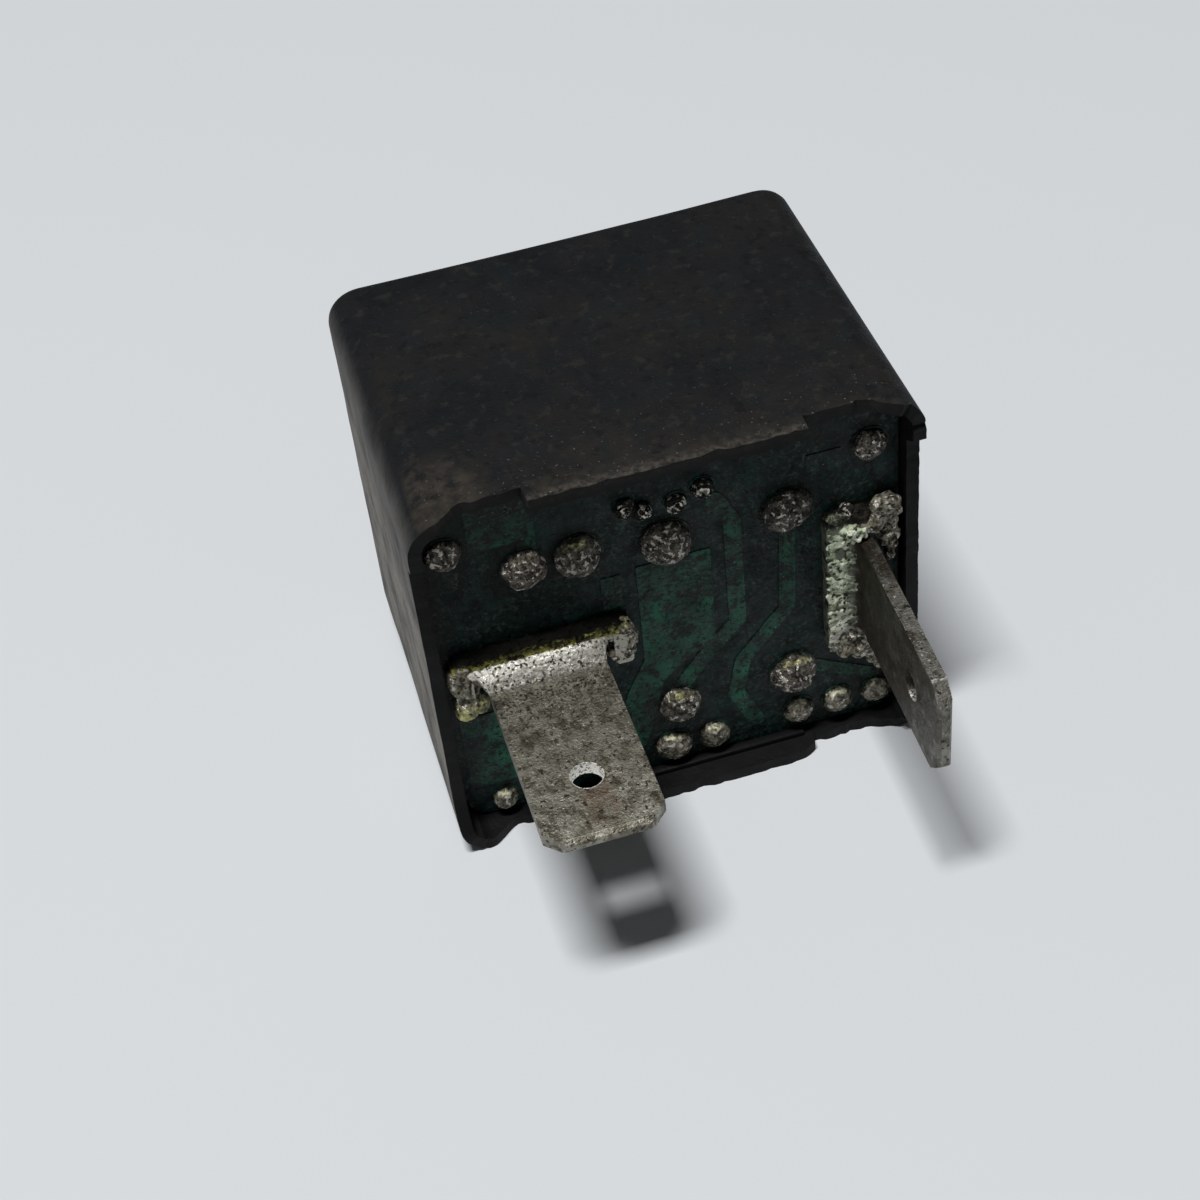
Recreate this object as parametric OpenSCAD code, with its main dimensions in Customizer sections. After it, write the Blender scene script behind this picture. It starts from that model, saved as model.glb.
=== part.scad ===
// Automotive relay: a black moulded cover over a small circuit board that carries two blade
// terminals outside, and the relay mechanism and its electronics inside.
// It lies on its lower side wall: the blades point to -Y, the closed end of the cover to +Y.
// Lengths below are measured from the rim of the cover (y = 0 at the rim, inwards positive).

/* [Cover] */
// Width of the cover, across the board
cover_w = 26.6; // [26.2:0.1:30]
// Height of the cover as it lies, across the board
cover_h = 24.1; // [23.8:0.1:28]
// Depth of the cover from rim to closed end
cover_d = 20.4; // [20:0.1:26]
// Wall of the cover
cover_wall = 0.7; // [0.5:0.05:0.8]
// Outer radius of the four long corners
cover_corner_r = 2.4; // [1.6:0.1:3]
// Rounding of the edge round the closed end
cover_end_r = 0.6; // [0.3:0.05:0.65]
// Length of the middle tab on the long rims
rim_tab_w = 14.3; // [12:0.1:15]
// Width of the notch beside the tab
rim_notch_w = 3.2; // [2.4:0.1:3.4]
// Depth of the notches
rim_notch_d = 1.05; // [0.6:0.05:1.3]
// How far the rims of the side walls are cut back
rim_side_cut = 0.9; // [0.5:0.05:1.2]
// How far the corner lugs reach along the side walls
rim_lug_drop = 3; // [2.4:0.1:4]
// Height of the retaining bead inside the tabs
bead_h = 0.3; // [0.15:0.05:0.35]
// Height of the ribs that the board rests on
rib_h = 0.75; // [0.5:0.05:0.85]
// Thickness of those ribs
rib_t = 1; // [0.8:0.1:1.2]

/* [Board] */
// Thickness of the circuit board
board_t = 1.6; // [1.2:0.1:1.8]
// Depth of the board's outer face below the rim
board_recess = 1.8; // [1.7:0.05:2.2]
// Gap between board and cover all round
board_gap = 0.1; // [0.05:0.01:0.15]
// Thickness of the copper
copper_t = 0.05; // [0.035:0.005:0.07]

/* [Terminals] */
// Width of the blades
blade_w = 6.3; // [5.8:0.1:6.6]
// Thickness of the terminal strip
blade_t = 0.8; // [0.6:0.05:0.9]
// Reach of the blades in front of the rim
blade_reach = 10.8; // [9:0.1:13]
// Radius of the locking hole in the blades
blade_hole_r = 0.83; // [0.6:0.01:1]
// Distance of the hole from the tip
blade_hole_back = 3.9; // [3.2:0.1:4.6]
// Chamfer of the tip's corners
blade_chamfer = 1; // [0.6:0.1:1.4]
// Inner radius of the bend at the foot
blade_bend_r = 0.7; // [0.3:0.05:0.75]
// Length of the foot across its ears
foot_w = 9.6; // [9.3:0.1:9.8]
// Height of the foot above the blade
foot_rise = 1.7; // [1.5:0.1:2]
// Lean of the right blade towards the middle
right_lean = 1.5; // [0:0.5:4]

/* [Mechanism] */
// Radius of the iron core
core_r = 2; // [1.5:0.1:2.2]
// Radius of the pole face
pole_r = 3.5; // [2.6:0.1:3.7]
// Wall of the bobbin's barrel
barrel_t = 0.8; // [0.5:0.1:1]
// Side of the bobbin's flanges
flange_w = 10; // [9.4:0.1:10.2]
// Thickness of the bobbin's flanges
flange_t = 0.8; // [0.6:0.05:1]
// Length of the winding
winding_l = 6.4; // [6:0.1:6.8]
// Outer radius of the winding
winding_r = 4.65; // [3.8:0.05:4.8]
// Thickness of the yoke
yoke_t = 1.2; // [1:0.05:1.3]
// Width of the yoke and of the armature
yoke_w = 9; // [8:0.1:9.4]
// Thickness of the armature
armature_t = 1.2; // [0.9:0.05:1.2]
// Gap between the open armature and the pole
pole_gap = 0.65; // [0.62:0.01:0.9]
// Gap between the open contacts
contact_gap = 0.86; // [0.84:0.01:1.1]
// Radius of the contact heads
contact_r = 1.2; // [0.9:0.05:1.3]
// Height of the contact heads
contact_h = 0.7; // [0.5:0.05:0.8]
// Thickness of the contact leaf
leaf_t = 0.3; // [0.2:0.05:0.4]
// Thickness of the fixed contact's strip
strip_t = 0.5; // [0.4:0.05:0.6]
// Width of the fixed contact's strip
strip_w = 3.8; // [3.2:0.1:4]
// Wire radius of the return spring
spring_wire_r = 0.2; // [0.15:0.01:0.22]
// Mean radius of the return spring
spring_r = 1.05; // [0.95:0.05:1.1]

/* [Components] */
// Radius of the electrolytic capacitor
cap_r = 4; // [3.5:0.1:4.1]
// Height of the electrolytic capacitor
cap_h = 11.5; // [9:0.5:12]
// Radius of the resistor bodies at their caps
resistor_r = 1.15; // [0.9:0.05:1.2]
// Length of the resistor bodies
resistor_l = 6.3; // [5.5:0.1:6.5]
// Radius of the diode's body
diode_r = 1; // [0.8:0.05:1.05]
// Length of the diode's body
diode_l = 4.2; // [3.6:0.1:4.6]
// Radius of the thin component leads
lead_r = 0.3; // [0.25:0.01:0.32]
// Radius of the shunt wire
shunt_r = 0.5; // [0.4:0.05:0.6]
// Height of the power transistor's body
transistor_h = 10; // [8:0.5:11]

/* [Hidden] */
$fn = 48;

fit = 0.02;       // close fit of a soldered, riveted or pressed pin
slip = 0.1;       // free gap between pieces that only stand beside each other
over = 0.5;       // how far a cutting tool runs past what it cuts

// The part's origin is under the middle of its box, so the rim lies at rim_y.
rim_y = -(cover_d - blade_reach) / 2;

// Cover and board
inner_w = cover_w - 2 * cover_wall;
inner_h = cover_h - 2 * cover_wall;
inner_r = cover_corner_r - cover_wall;
end_inner_y = cover_d - cover_wall;
mid_z = cover_h / 2;
board_y = board_recess;
board_back = board_y + board_t;
board_w = inner_w - 2 * board_gap;
board_h = inner_h - 2 * board_gap;
board_corner_r = inner_r - board_gap;
board_left = -board_w / 2;
board_foot = cover_wall + board_gap;
board_top = cover_h - board_foot;
copper_y = board_y - copper_t;
bead_y = board_y - bead_h - 0.05;
rib_z = [5.2, cover_h - 5.3];

// Terminals: place of the middle of each blade, on its inner (concave) face
left_x = board_left + 5.2;
left_z = mid_z - 0.35;
right_x = -board_left - 2.55;
right_z = left_z;
tip_bevel = blade_t / 4;
ear_w = 1;
ear_drop = 2.2;
short_drop = 1.3;
left_drops = [ear_drop, short_drop];
right_drops = [ear_drop, ear_drop];
tab_l = 2;
tab_y = board_back + 0.7;
foot_face = board_y - blade_t;
bend_y = foot_face - blade_bend_r;

// The electrolytic capacitor stands at the left, behind the left terminal
cap_x = board_left + 6.1;
cap_z = board_foot + 6.5;
cap_y = board_back + 1.2;
cap_pitch = 3.5;
cap_skin = 0.3;

// Mechanism: the coil stands beside the capacitor, and its axis runs along Y
coil_gap = 0.55;
coil_x = cap_x + cap_r + coil_gap + flange_w / 2;
coil_z = mid_z - 0.55;
foot_pitch = 6.5;
yoke_y = board_back + 1.2;
yoke_bend_r = 1.4;
yoke_leg_z = coil_z + flange_w / 2 + 0.4;
yoke_top_z = yoke_leg_z + yoke_t;
barrel_y = yoke_y + yoke_t + 0.05;
flange2_y = barrel_y + flange_t + winding_l + 0.1;
pole_y = flange2_y + flange_t + slip;
pole_t = 0.9;
armature_y = pole_y + pole_t + pole_gap;
armature_back = armature_y + armature_t;
hinge_y = armature_y - 0.05;
hinge_z = yoke_top_z;
yoke_tip_y = armature_y - 0.1;
horn_w = 1.3;
horn_l = armature_t + 0.3;
horn_gap = 0.2;
armature_foot = coil_z - 4.8;
leaf_y = armature_back;
pin_r = 0.4;
pin_z = board_foot + 4.6;

// Contacts
contact_x = coil_x - 2.625;
contact_z = board_foot + 3.3;
strip_z = board_foot + 1.45;
leg_pitch = 2.35;
leg_w = 0.8;
moving_face = leaf_y - contact_h - 0.15;
fixed_face = moving_face - contact_gap;
strip_end_y = fixed_face - contact_h;
rivet_r = 0.5;
rivet_at = [coil_x - 2, coil_x + 2];
rivet_z = coil_z + 1.7;

// Return spring
hook_r = spring_r + 0.15;
spring_z = hinge_z + 2.5;
hook_hole_r = 0.65;
hook_hole_z = spring_z - hook_r + 0.05;
hook_top_z = spring_z + 0.35;
hook_w = 3;
anchor_y = yoke_y + 3.6;
anchor_t = 0.8;
spring_y1 = anchor_y + anchor_t / 2 + 0.1;
spring_y2 = armature_y + armature_t / 2 - 0.1;

// Components
shunt_x = [board_left + 5, board_left + 7.85];
shunt_z = yoke_top_z + 0.1;
shunt_top = board_back + 6.5;
axial_y = board_back + 0.3 + resistor_r;
resistor_z = yoke_top_z + 2.4;
resistor_left_x = [board_left + 1.1, board_left + 10.4];
resistor_right_x = [-board_left - 10.5, -board_left - 1.6];
diode_x = [board_left + 2.2, board_left + 9.1];
diode_z = board_foot + 1.1;
diode_y = board_back + 0.3 + diode_r;
transistor_x = -board_left - 3.6;
transistor_z = board_foot + 1.55;
transistor_w = 7;
transistor_t = 2.5;
transistor_y = board_back + 3.6;
transistor_pitch = 2.275;
plate_t = 0.5;
disc_x = [resistor_left_x[1] + 0.9, resistor_left_x[1] + 2.7];
disc_z = yoke_top_z + 1.9;
disc_r = 1.7;
disc_t = 1.6;
disc_y = axial_y + resistor_r + 0.2 + disc_r;
bend_r = 0.8;

// Solder joints: place across the board, radius of the dome, and radius of the lead in it
JOINTS = [
    [resistor_left_x[0], resistor_z, 0.92, lead_r],
    [shunt_x[0], shunt_z, 1.15, shunt_r],
    [shunt_x[1], shunt_z, 1.22, shunt_r],
    [coil_x - foot_pitch / 2, yoke_leg_z + yoke_t / 2, 1.35, yoke_t / 2],
    [coil_x + foot_pitch / 2, yoke_leg_z + yoke_t / 2, 1.3, yoke_t / 2],
    [resistor_right_x[1], resistor_z, 0.95, lead_r],
    [coil_x - foot_pitch / 2, pin_z, 1.15, pin_r],
    [coil_x + foot_pitch / 2, pin_z, 1.3, pin_r],
    [contact_x - leg_pitch / 2, strip_z, 1, leg_w / 2],
    [contact_x + leg_pitch / 2, strip_z, 0.85, leg_w / 2],
    [transistor_x - transistor_pitch, transistor_z, 0.85, lead_r],
    [transistor_x, transistor_z, 0.85, lead_r],
    [transistor_x + transistor_pitch, transistor_z, 0.85, lead_r],
    [diode_x[0], diode_z, 0.7, lead_r],
    [diode_x[1], diode_z, 0.7, lead_r],
    [resistor_left_x[1], resistor_z, 0.45, lead_r],
    [disc_x[0], disc_z, 0.42, lead_r],
    [disc_x[1], disc_z, 0.55, lead_r],
    [resistor_right_x[0], resistor_z, 0.6, lead_r],
    [cap_x - cap_pitch / 2, cap_z, 0.9, lead_r],
    [cap_x + cap_pitch / 2, cap_z, 0.9, lead_r]
];
joint_rise = 0.72;   // height of a dome over its radius
lead_end = 0.45;     // how far a lead reaches in front of the board, inside its dome

// ---------------------------------------------------------------- helpers

// Everything below is placed from the rim, then moved into the part's frame.
module from_rim() {
    translate([0, rim_y, 0]) children();
}

// An outline drawn across the board in (x, z), as a plate from depth y0 to y1.
module plate(y0, y1) {
    translate([0, y1, 0]) rotate([90, 0, 0]) linear_extrude(y1 - y0) children();
}

// An outline drawn in (y, z), running along X from x0 to x1.
module across(x0, x1) {
    translate([x0, 0, 0]) rotate([90, 0, 90]) linear_extrude(x1 - x0) children();
}

module rod(x, z, y0, y1, r) {
    translate([x, y0, z]) rotate([-90, 0, 0]) cylinder(r = r, h = y1 - y0);
}

// A revolved outline on an axis along Y: the outline is drawn in (radius, depth).
module turned(x, z) {
    translate([x, 0, z]) rotate([-90, 0, 0]) rotate_extrude() children();
}

module rect(x0, x1, y0, y1) {
    translate([x0, y0]) square([x1 - x0, y1 - y0]);
}

module round_rect(x0, x1, y0, y1, r) {
    rect(x0 + r, x1 - r, y0, y1);
    rect(x0, x1, y0 + r, y1 - r);
    for (x = [x0 + r, x1 - r], y = [y0 + r, y1 - r]) translate([x, y]) circle(r);
}

module block(x0, x1, y0, y1, z0, z1) {
    translate([x0, y0, z0]) cube([x1 - x0, y1 - y0, z1 - z0]);
}

// A box lying along Y with round long corners, and a rounded edge round its far end.
module round_end_box(w, h, z0, y0, y1, r, end_r) {
    flat_x = w / 2 - r;
    across(-flat_x, flat_x) round_far_end(y0, y1, z0, z0 + h, end_r);
    translate([0, 0, z0 + r]) linear_extrude(h - 2 * r) rotate(90)
        round_far_end(y0, y1, -w / 2, w / 2, end_r);
    for (x = [-flat_x, flat_x], z = [z0 + r, z0 + h - r]) turned(x, z) {
        rect(0, r, y0, y1 - end_r);
        rect(0, r - end_r, y0, y1);
        intersection() {
            translate([r - end_r, y1 - end_r]) circle(end_r);
            rect(r - end_r, r, y1 - end_r, y1);
        }
    }
}

module round_far_end(y0, y1, z0, z1, r) {
    rect(y0, y1 - r, z0, z1);
    rect(y0, y1, z0 + r, z1 - r);
    for (z = [z0 + r, z1 - r]) translate([y1 - r, z]) circle(r);
}

// A wire from a hole in the board: out of the joint, up, round a bend, and along X.
module bent_lead(x_hole, x_body, z, y_axis, r) {
    way = sign(x_body - x_hole);
    rod(x_hole, z, board_y - lead_end, y_axis - bend_r, r);
    translate([x_hole + way * bend_r, y_axis - bend_r, z])
        rotate([0, 0, way > 0 ? 90 : 0])
            rotate_extrude(angle = 90) translate([bend_r, 0]) circle(r);
    translate([x_hole + way * bend_r, y_axis, z]) rotate([0, way * 90, 0])
        cylinder(r = r, h = abs(x_body - x_hole) - bend_r);
}

// ---------------------------------------------------------------- cover

module cover() {
    tab = rim_tab_w / 2;
    lug = cover_h - rim_lug_drop;
    color("#1d1c1c") from_rim() {
        difference() {
            round_end_box(cover_w, cover_h, 0, 0, cover_d, cover_corner_r, cover_end_r);
            plate(-over, end_inner_y)
                round_rect(-inner_w / 2, inner_w / 2, cover_wall, cover_h - cover_wall, inner_r);
            for (side = [-1, 1]) {
                x = side * (tab + rim_notch_w / 2);
                block(x - rim_notch_w / 2, x + rim_notch_w / 2, -over, rim_notch_d, -over,
                      cover_h + over);
                block(side * inner_w / 2 - over, side * inner_w / 2 + over + cover_wall,
                      -over, rim_side_cut, rim_lug_drop, lug);
            }
        }
        retaining_beads(tab - 0.4);
        board_ribs();
    }
}

// A small wedge inside each tab keeps the board in.
module retaining_beads(half) {
    for (up = [0, 1]) translate([0, 0, up * cover_h]) mirror([0, 0, up])
        across(-half, half) polygon([
            [bead_y - 2 * bead_h, cover_wall - 0.05], [bead_y, cover_wall + bead_h],
            [bead_y + bead_h, cover_wall + bead_h], [bead_y + bead_h, cover_wall - 0.05]
        ]);
}

module board_ribs() {
    for (side = [-1, 1], z = rib_z) {
        x = side * (inner_w / 2 - rib_h / 2 + 0.05);
        block(x - rib_h / 2 - 0.05, x + rib_h / 2, board_back, end_inner_y + 0.05,
              z - rib_t / 2, z + rib_t / 2);
    }
}

// ---------------------------------------------------------------- board

module circuit_board() {
    color("#12332a") from_rim() difference() {
        plate(board_y, board_back)
            round_rect(board_left, -board_left, board_foot, board_top, board_corner_r);
        for (j = JOINTS) rod(j[0], j[1], board_y - over, board_back + over, j[3] + 0.15);
        left_tabs(fit);
        right_tabs(fit);
    }
}

// A copper track: straight runs between its corners, all of one width.
module track(corners, width) {
    for (i = [0 : len(corners) - 1]) translate(corners[i]) circle(width / 2);
    for (i = [0 : len(corners) - 2]) {
        step = corners[i + 1] - corners[i];
        translate(corners[i]) rotate(atan2(step[1], step[0]))
            translate([0, -width / 2]) square([norm(step), width]);
    }
}

module copper_tracks() {
    mid_x = coil_x + 0.3;    // the track up the middle
    pour_x = coil_x - 4.95;  // left edge of the broad copper below the yoke's foot
    color("#1f5a45") from_rim() difference() {
        plate(copper_y, board_y) {
            for (j = JOINTS) translate([j[0], j[1]]) circle(j[2] + 0.12);
            track([[resistor_right_x[0] + 0.6, resistor_z - 1.1], [mid_x, shunt_z - 0.5],
                   [mid_x, coil_z - 1], [mid_x - 1.85, coil_z - 2.9],
                   [coil_x - foot_pitch / 2, pin_z + 1]], 0.95);
            track([[coil_x + foot_pitch / 2, yoke_leg_z], [mid_x + 2.75, coil_z - 1],
                   [mid_x + 0.15, pin_z + 2], [mid_x - 0.35, pin_z - 0.4],
                   [mid_x + 0.75, strip_z + 0.15]], 0.9);
            track([[coil_x + foot_pitch / 2 + 1.4, pin_z],
                   [transistor_x + transistor_pitch, transistor_z + 1.15]], 0.8);
            track([[shunt_x[0] + 0.3, shunt_z], [shunt_x[0] + 0.3, board_top - 0.6]], 1);
            rect(shunt_x[0] - 2.6, shunt_x[0] - 0.1, board_top - 3.2, board_top - 0.2);
            polygon([
                [pour_x, yoke_leg_z - 0.7], [pour_x + 4, yoke_leg_z - 0.7],
                [pour_x + 4, coil_z - 1.9], [pour_x + 2, coil_z - 3.1],
                [pour_x + 0.9, pin_z + 2], [pour_x + 0.2, pin_z - 0.8],
                [pour_x - 0.4, strip_z + 0.55], [pour_x - 1.8, strip_z + 0.55],
                [pour_x - 1.2, pin_z + 1.6], [pour_x, coil_z - 2.1]
            ]);
            rect(pour_x - 1.9, pour_x - 0.8, left_z + 2.1, yoke_leg_z - 0.9);
            rect(-board_left - 5, -board_left - 3.1, resistor_z - 1, resistor_z + 0.2);
            rect(board_left + 0.4, board_left + 3, diode_z + 1.2, left_z - 3.1);
        }
        for (j = JOINTS) rod(j[0], j[1], copper_y - over, board_y + over, j[3] + fit);
        at_left() grown_foot(left_drops);
        at_right() grown_foot(right_drops);
    }
}

// A domed solder joint round the end of a lead.
module joint_dome(x, z, r, wire_r) {
    rise = r * joint_rise;
    ball = (r * r + rise * rise) / (2 * rise);
    through = rise < lead_end + 0.1;  // the lead's end shows in the top of a small joint
    difference() {
        intersection() {
            translate([x, copper_y - rise + ball, z]) sphere(ball);
            rod(x, z, copper_y - rise - over, copper_y, r + over);
        }
        rod(x, z, board_y - lead_end - (through ? over : fit), board_y, wire_r + fit);
    }
}

module solder_joints() {
    color("#8d8a82") from_rim() {
        for (j = JOINTS) joint_dome(j[0], j[1], j[2], min(j[3], j[2] - 0.12));
    }
}

// ---------------------------------------------------------------- terminals

// One stamped strip: drawn with its blade along -Y, its inner face on z = 0 and its foot
// standing up against the board. The bend is a sector of a ring, 90 degrees less the lean
// away from the foot.
module blade_strip(lean, drops) {
    half = blade_w / 2;
    length = blade_reach + bend_y;
    translate([0, bend_y, blade_bend_r]) rotate([lean, 0, 0]) {
        translate([0, 0, -blade_bend_r]) difference() {
            translate([0, 0, -blade_t]) linear_extrude(blade_t) polygon([
                [-half, 0], [half, 0], [half, -length + blade_chamfer],
                [half - blade_chamfer, -length], [-half + blade_chamfer, -length],
                [-half, -length + blade_chamfer]
            ]);
            translate([0, -length + blade_hole_back, -blade_t - over])
                cylinder(r = blade_hole_r, h = blade_t + 2 * over);
            for (face = [0, 1]) translate([0, 0, -face * blade_t]) mirror([0, 0, face])
                tip_bevel_cut(length);
        }
        rotate([0, 90, 0]) translate([0, 0, -half]) rotate_extrude(angle = 90 - lean)
            rect(blade_bend_r, blade_bend_r + blade_t, 0, blade_w);
    }
    foot_plate(drops);
}

module tip_bevel_cut(length) {
    across(-blade_w, blade_w) polygon([
        [-length - over, over], [-length - over, -tip_bevel - over / 3],
        [-length, -tip_bevel], [-length + 1.3 * tip_bevel, 0], [-length + 1.3 * tip_bevel, over]
    ]);
}

module foot_plate(drops) {
    top = foot_rise;
    plate(foot_face, board_y) {
        rect(-blade_w / 2, blade_w / 2, blade_bend_r, top);
        round_rect(-foot_w / 2, foot_w / 2, blade_bend_r, top, 0.25);
        for (side = [-1, 1]) {
            x = side * (foot_w - ear_w) / 2;
            round_rect(x - ear_w / 2, x + ear_w / 2, -drops[(side + 1) / 2], top, 0.25);
        }
    }
    ear_tabs(0);
}

// The tabs that pass through the board, drawn larger by grow for their slots.
module ear_tabs(grow) {
    for (side = [-1, 1]) {
        x = side * (foot_w - ear_w) / 2;
        block(x - ear_w / 2 + 0.1 - grow, x + ear_w / 2 - 0.1 + grow,
              board_y - over / 4, tab_y + grow, -tab_l / 2 - grow, tab_l / 2 + grow);
    }
}

module at_left() { translate([left_x, 0, left_z]) children(); }

module at_right() { translate([right_x, 0, right_z]) rotate([0, -90, 0]) children(); }

module left_tabs(grow) { at_left() ear_tabs(grow); }

module right_tabs(grow) { at_right() ear_tabs(grow); }

module terminal_left() {
    color("#8b8780") from_rim() at_left() blade_strip(0, left_drops);
}

module terminal_right() {
    color("#8b8780") from_rim() at_right() blade_strip(-right_lean, right_drops);
}

// A bead of solder along a line on the board, from a to b in (x, z).
module solder_bead(a, b, r) {
    run = b - a;
    intersection() {
        union() {
            for (p = [a, b]) translate([p[0], copper_y, p[1]]) sphere(r);
            translate([a[0], copper_y, a[1]]) rotate([0, 90 - atan2(run[1], run[0]), 0])
                cylinder(r = r, h = norm(run));
        }
        block(-cover_w, cover_w, copper_y - 2 * r, copper_y, -cover_h, cover_h);
    }
}

module ear_solder(low, high, r, drops) {
    for (side = [-1, 1]) difference() {
        x = side * (foot_w / 2 - ear_w / 3);
        solder_bead([x, low[(side + 1) / 2]], [x, high[(side + 1) / 2]], r);
        grown_foot(drops);
    }
}

// The foot with a close gap round it, to be cut out of the solder that holds it.
module grown_foot(drops) {
    block(-foot_w / 2 - fit, foot_w / 2 + fit, foot_face - fit, board_y + over,
          blade_bend_r - fit, foot_rise + fit);
    block(-blade_w / 2 - fit, blade_w / 2 + fit, -blade_reach, board_y + over,
          -blade_t - fit, foot_rise + fit);
    for (side = [-1, 1]) {
        x = side * (foot_w - ear_w) / 2;
        block(x - ear_w / 2 - fit, x + ear_w / 2 + fit, foot_face - fit, board_y + over,
              -drops[(side + 1) / 2] - fit, foot_rise + fit);
    }
}

// Solder stays on the board, and runs round the joints beside it.
module on_board() {
    difference() {
        intersection() {
            children();
            block(board_left + slip, -board_left - slip, -over, board_y, board_foot, board_top);
        }
        for (j = JOINTS) rod(j[0], j[1], -over, board_y + over, j[2] + fit);
    }
}

module terminal_left_solder() {
    color("#96928a") from_rim() on_board() at_left() ear_solder([-2.3, -1.5], [0.8, 0.9], 1.05,
                                                            left_drops);
}

module terminal_right_solder() {
    color("#96928a") from_rim() on_board() at_right() ear_solder([-2.2, -1.4], [1.2, 0.8], 1.05,
                                                             right_drops);
}

// ---------------------------------------------------------------- mechanism

module yoke() {
    half = yoke_w / 2;
    color("#9c9a94") from_rim() translate([coil_x, 0, 0]) difference() {
        union() {
            // the plate on the board's side, and the leg over the coil
            across(-half, half) yoke_profile();
            for (side = [-1, 1]) {
                x0 = side > 0 ? half - horn_w : -half;
                block(x0, x0 + horn_w, yoke_tip_y - over, yoke_tip_y + horn_l,
                      yoke_leg_z, yoke_top_z);
                rod(side * foot_pitch / 2, yoke_leg_z + yoke_t / 2, board_y - lead_end,
                    yoke_y + yoke_bend_r, yoke_t / 2);
            }
            plate(anchor_y, anchor_y + anchor_t)
                round_rect(-hook_w / 2, hook_w / 2, yoke_top_z - yoke_t / 2, hook_top_z, 0.5);
        }
        rod(0, coil_z, yoke_y - over, yoke_y + yoke_t + over, core_r + fit);
        rod(0, hook_hole_z, anchor_y - over, anchor_y + anchor_t + over, hook_hole_r);
    }
}

module yoke_profile() {
    low = coil_z - core_r - 1.6;
    rect(yoke_y, yoke_y + yoke_t, low, yoke_top_z - yoke_bend_r);
    rect(yoke_y + yoke_bend_r, yoke_tip_y, yoke_leg_z, yoke_top_z);
    intersection() {
        translate([yoke_y + yoke_bend_r, yoke_top_z - yoke_bend_r]) difference() {
            circle(yoke_bend_r);
            circle(yoke_bend_r - yoke_t);
        }
        rect(yoke_y, yoke_y + yoke_bend_r, yoke_top_z - yoke_bend_r, yoke_top_z);
    }
}

module core() {
    tail = core_r - 0.4;
    face = pole_y + pole_t;
    color("#a9a7a2") from_rim() turned(coil_x, coil_z) polygon([
        [0, yoke_y - 0.5], [tail, yoke_y - 0.5], [tail, yoke_y - 0.3], [core_r, yoke_y - 0.3],
        [core_r, pole_y], [pole_r, pole_y], [pole_r, face - 0.15], [pole_r - 0.15, face], [0, face]
    ]);
}

module bobbin() {
    half = flange_w / 2;
    stop_x = coil_x + yoke_w / 2 - 2.1;
    color("#c8bfa6") from_rim() {
        difference() {
            union() {
                rod(coil_x, coil_z, barrel_y, flange2_y + flange_t, core_r + fit + barrel_t);
                plate(barrel_y, barrel_y + flange_t)
                    round_rect(coil_x - half, coil_x + half, pin_z - 0.8, coil_z + half, 0.6);
                plate(flange2_y, flange2_y + flange_t)
                    round_rect(coil_x - half, coil_x + half, coil_z - half, coil_z + half, 0.6);
            }
            rod(coil_x, coil_z, barrel_y - over, flange2_y + flange_t + over, core_r + fit);
            for (side = [-1, 1])
                rod(coil_x + side * foot_pitch / 2, pin_z, barrel_y - over,
                    barrel_y + flange_t + over, pin_r + fit);
        }
        // the finger that stops the armature when it opens
        across(stop_x, stop_x + 1.8) polygon([
            [flange2_y, armature_foot - 1.15], [armature_back + 0.8, armature_foot - 1.15],
            [armature_back + 0.8, armature_foot + 0.9], [armature_back + 0.1, armature_foot + 0.6],
            [armature_back + 0.1, armature_foot - 0.25], [flange2_y + flange_t, armature_foot - 0.25],
            [flange2_y + flange_t, coil_z - half + 0.3], [flange2_y, coil_z - half + 0.3]
        ]);
    }
}

// The winding, with the top layer's turns as rounded ridges.
module coil_winding() {
    turns = 16;
    y0 = barrel_y + flange_t + 0.05;
    pitch = winding_l / turns;
    inner = core_r + barrel_t + 2 * fit;
    color("#8a4a26") from_rim() turned(coil_x, coil_z) {
        rect(inner, winding_r - pitch / 2, y0, y0 + winding_l);
        for (i = [0 : turns - 1])
            translate([winding_r - pitch / 2, y0 + (i + 0.5) * pitch]) circle(pitch / 2 - 0.005);
    }
}

module coil_pin(side) {
    x = coil_x + side * foot_pitch / 2;
    color("#b5b0a6") from_rim() rod(x, pin_z, board_y - lead_end, barrel_y + flange_t + 1.4, pin_r);
}

module coil_pin_left() { coil_pin(-1); }

module coil_pin_right() { coil_pin(1); }

// A stamped plate: body over the pole, neck between the yoke's horns, and a tail for the spring.
module armature() {
    half = yoke_w / 2;
    neck = half - horn_w - horn_gap;
    color("#a3a19b") from_rim() difference() {
        plate(armature_y, armature_back) translate([coil_x, 0]) {
            round_rect(-half, half, armature_foot, yoke_leg_z - horn_gap, 0.5);
            rect(-neck, neck, yoke_leg_z - 1.5, hinge_z + 1);
            round_rect(-half, half, yoke_top_z + horn_gap, yoke_top_z + horn_gap + 0.9, 0.3);
            round_rect(-hook_w / 2, hook_w / 2, yoke_top_z, hook_top_z, 0.4);
        }
        rod(coil_x, hook_hole_z, armature_y - over, armature_back + over, hook_hole_r);
        for (x = rivet_at) rod(x, rivet_z, armature_y - over, armature_back + over, rivet_r + fit);
    }
}

module contact_leaf() {
    top = rivet_z + 1.5;
    color("#b07a45") from_rim() difference() {
        plate(leaf_y, leaf_y + leaf_t) {
            round_rect(coil_x - 3.6, coil_x + 3.6, rivet_z - 1.6, top, 0.6);
            round_rect(contact_x - 1.6, contact_x + 1.6, contact_z - 1.6, top, 0.8);
        }
        for (x = rivet_at) rod(x, rivet_z, leaf_y - over, leaf_y + leaf_t + over, rivet_r + fit);
        rod(contact_x, contact_z, leaf_y - over, leaf_y + leaf_t + over, rivet_r + fit);
    }
}

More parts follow.
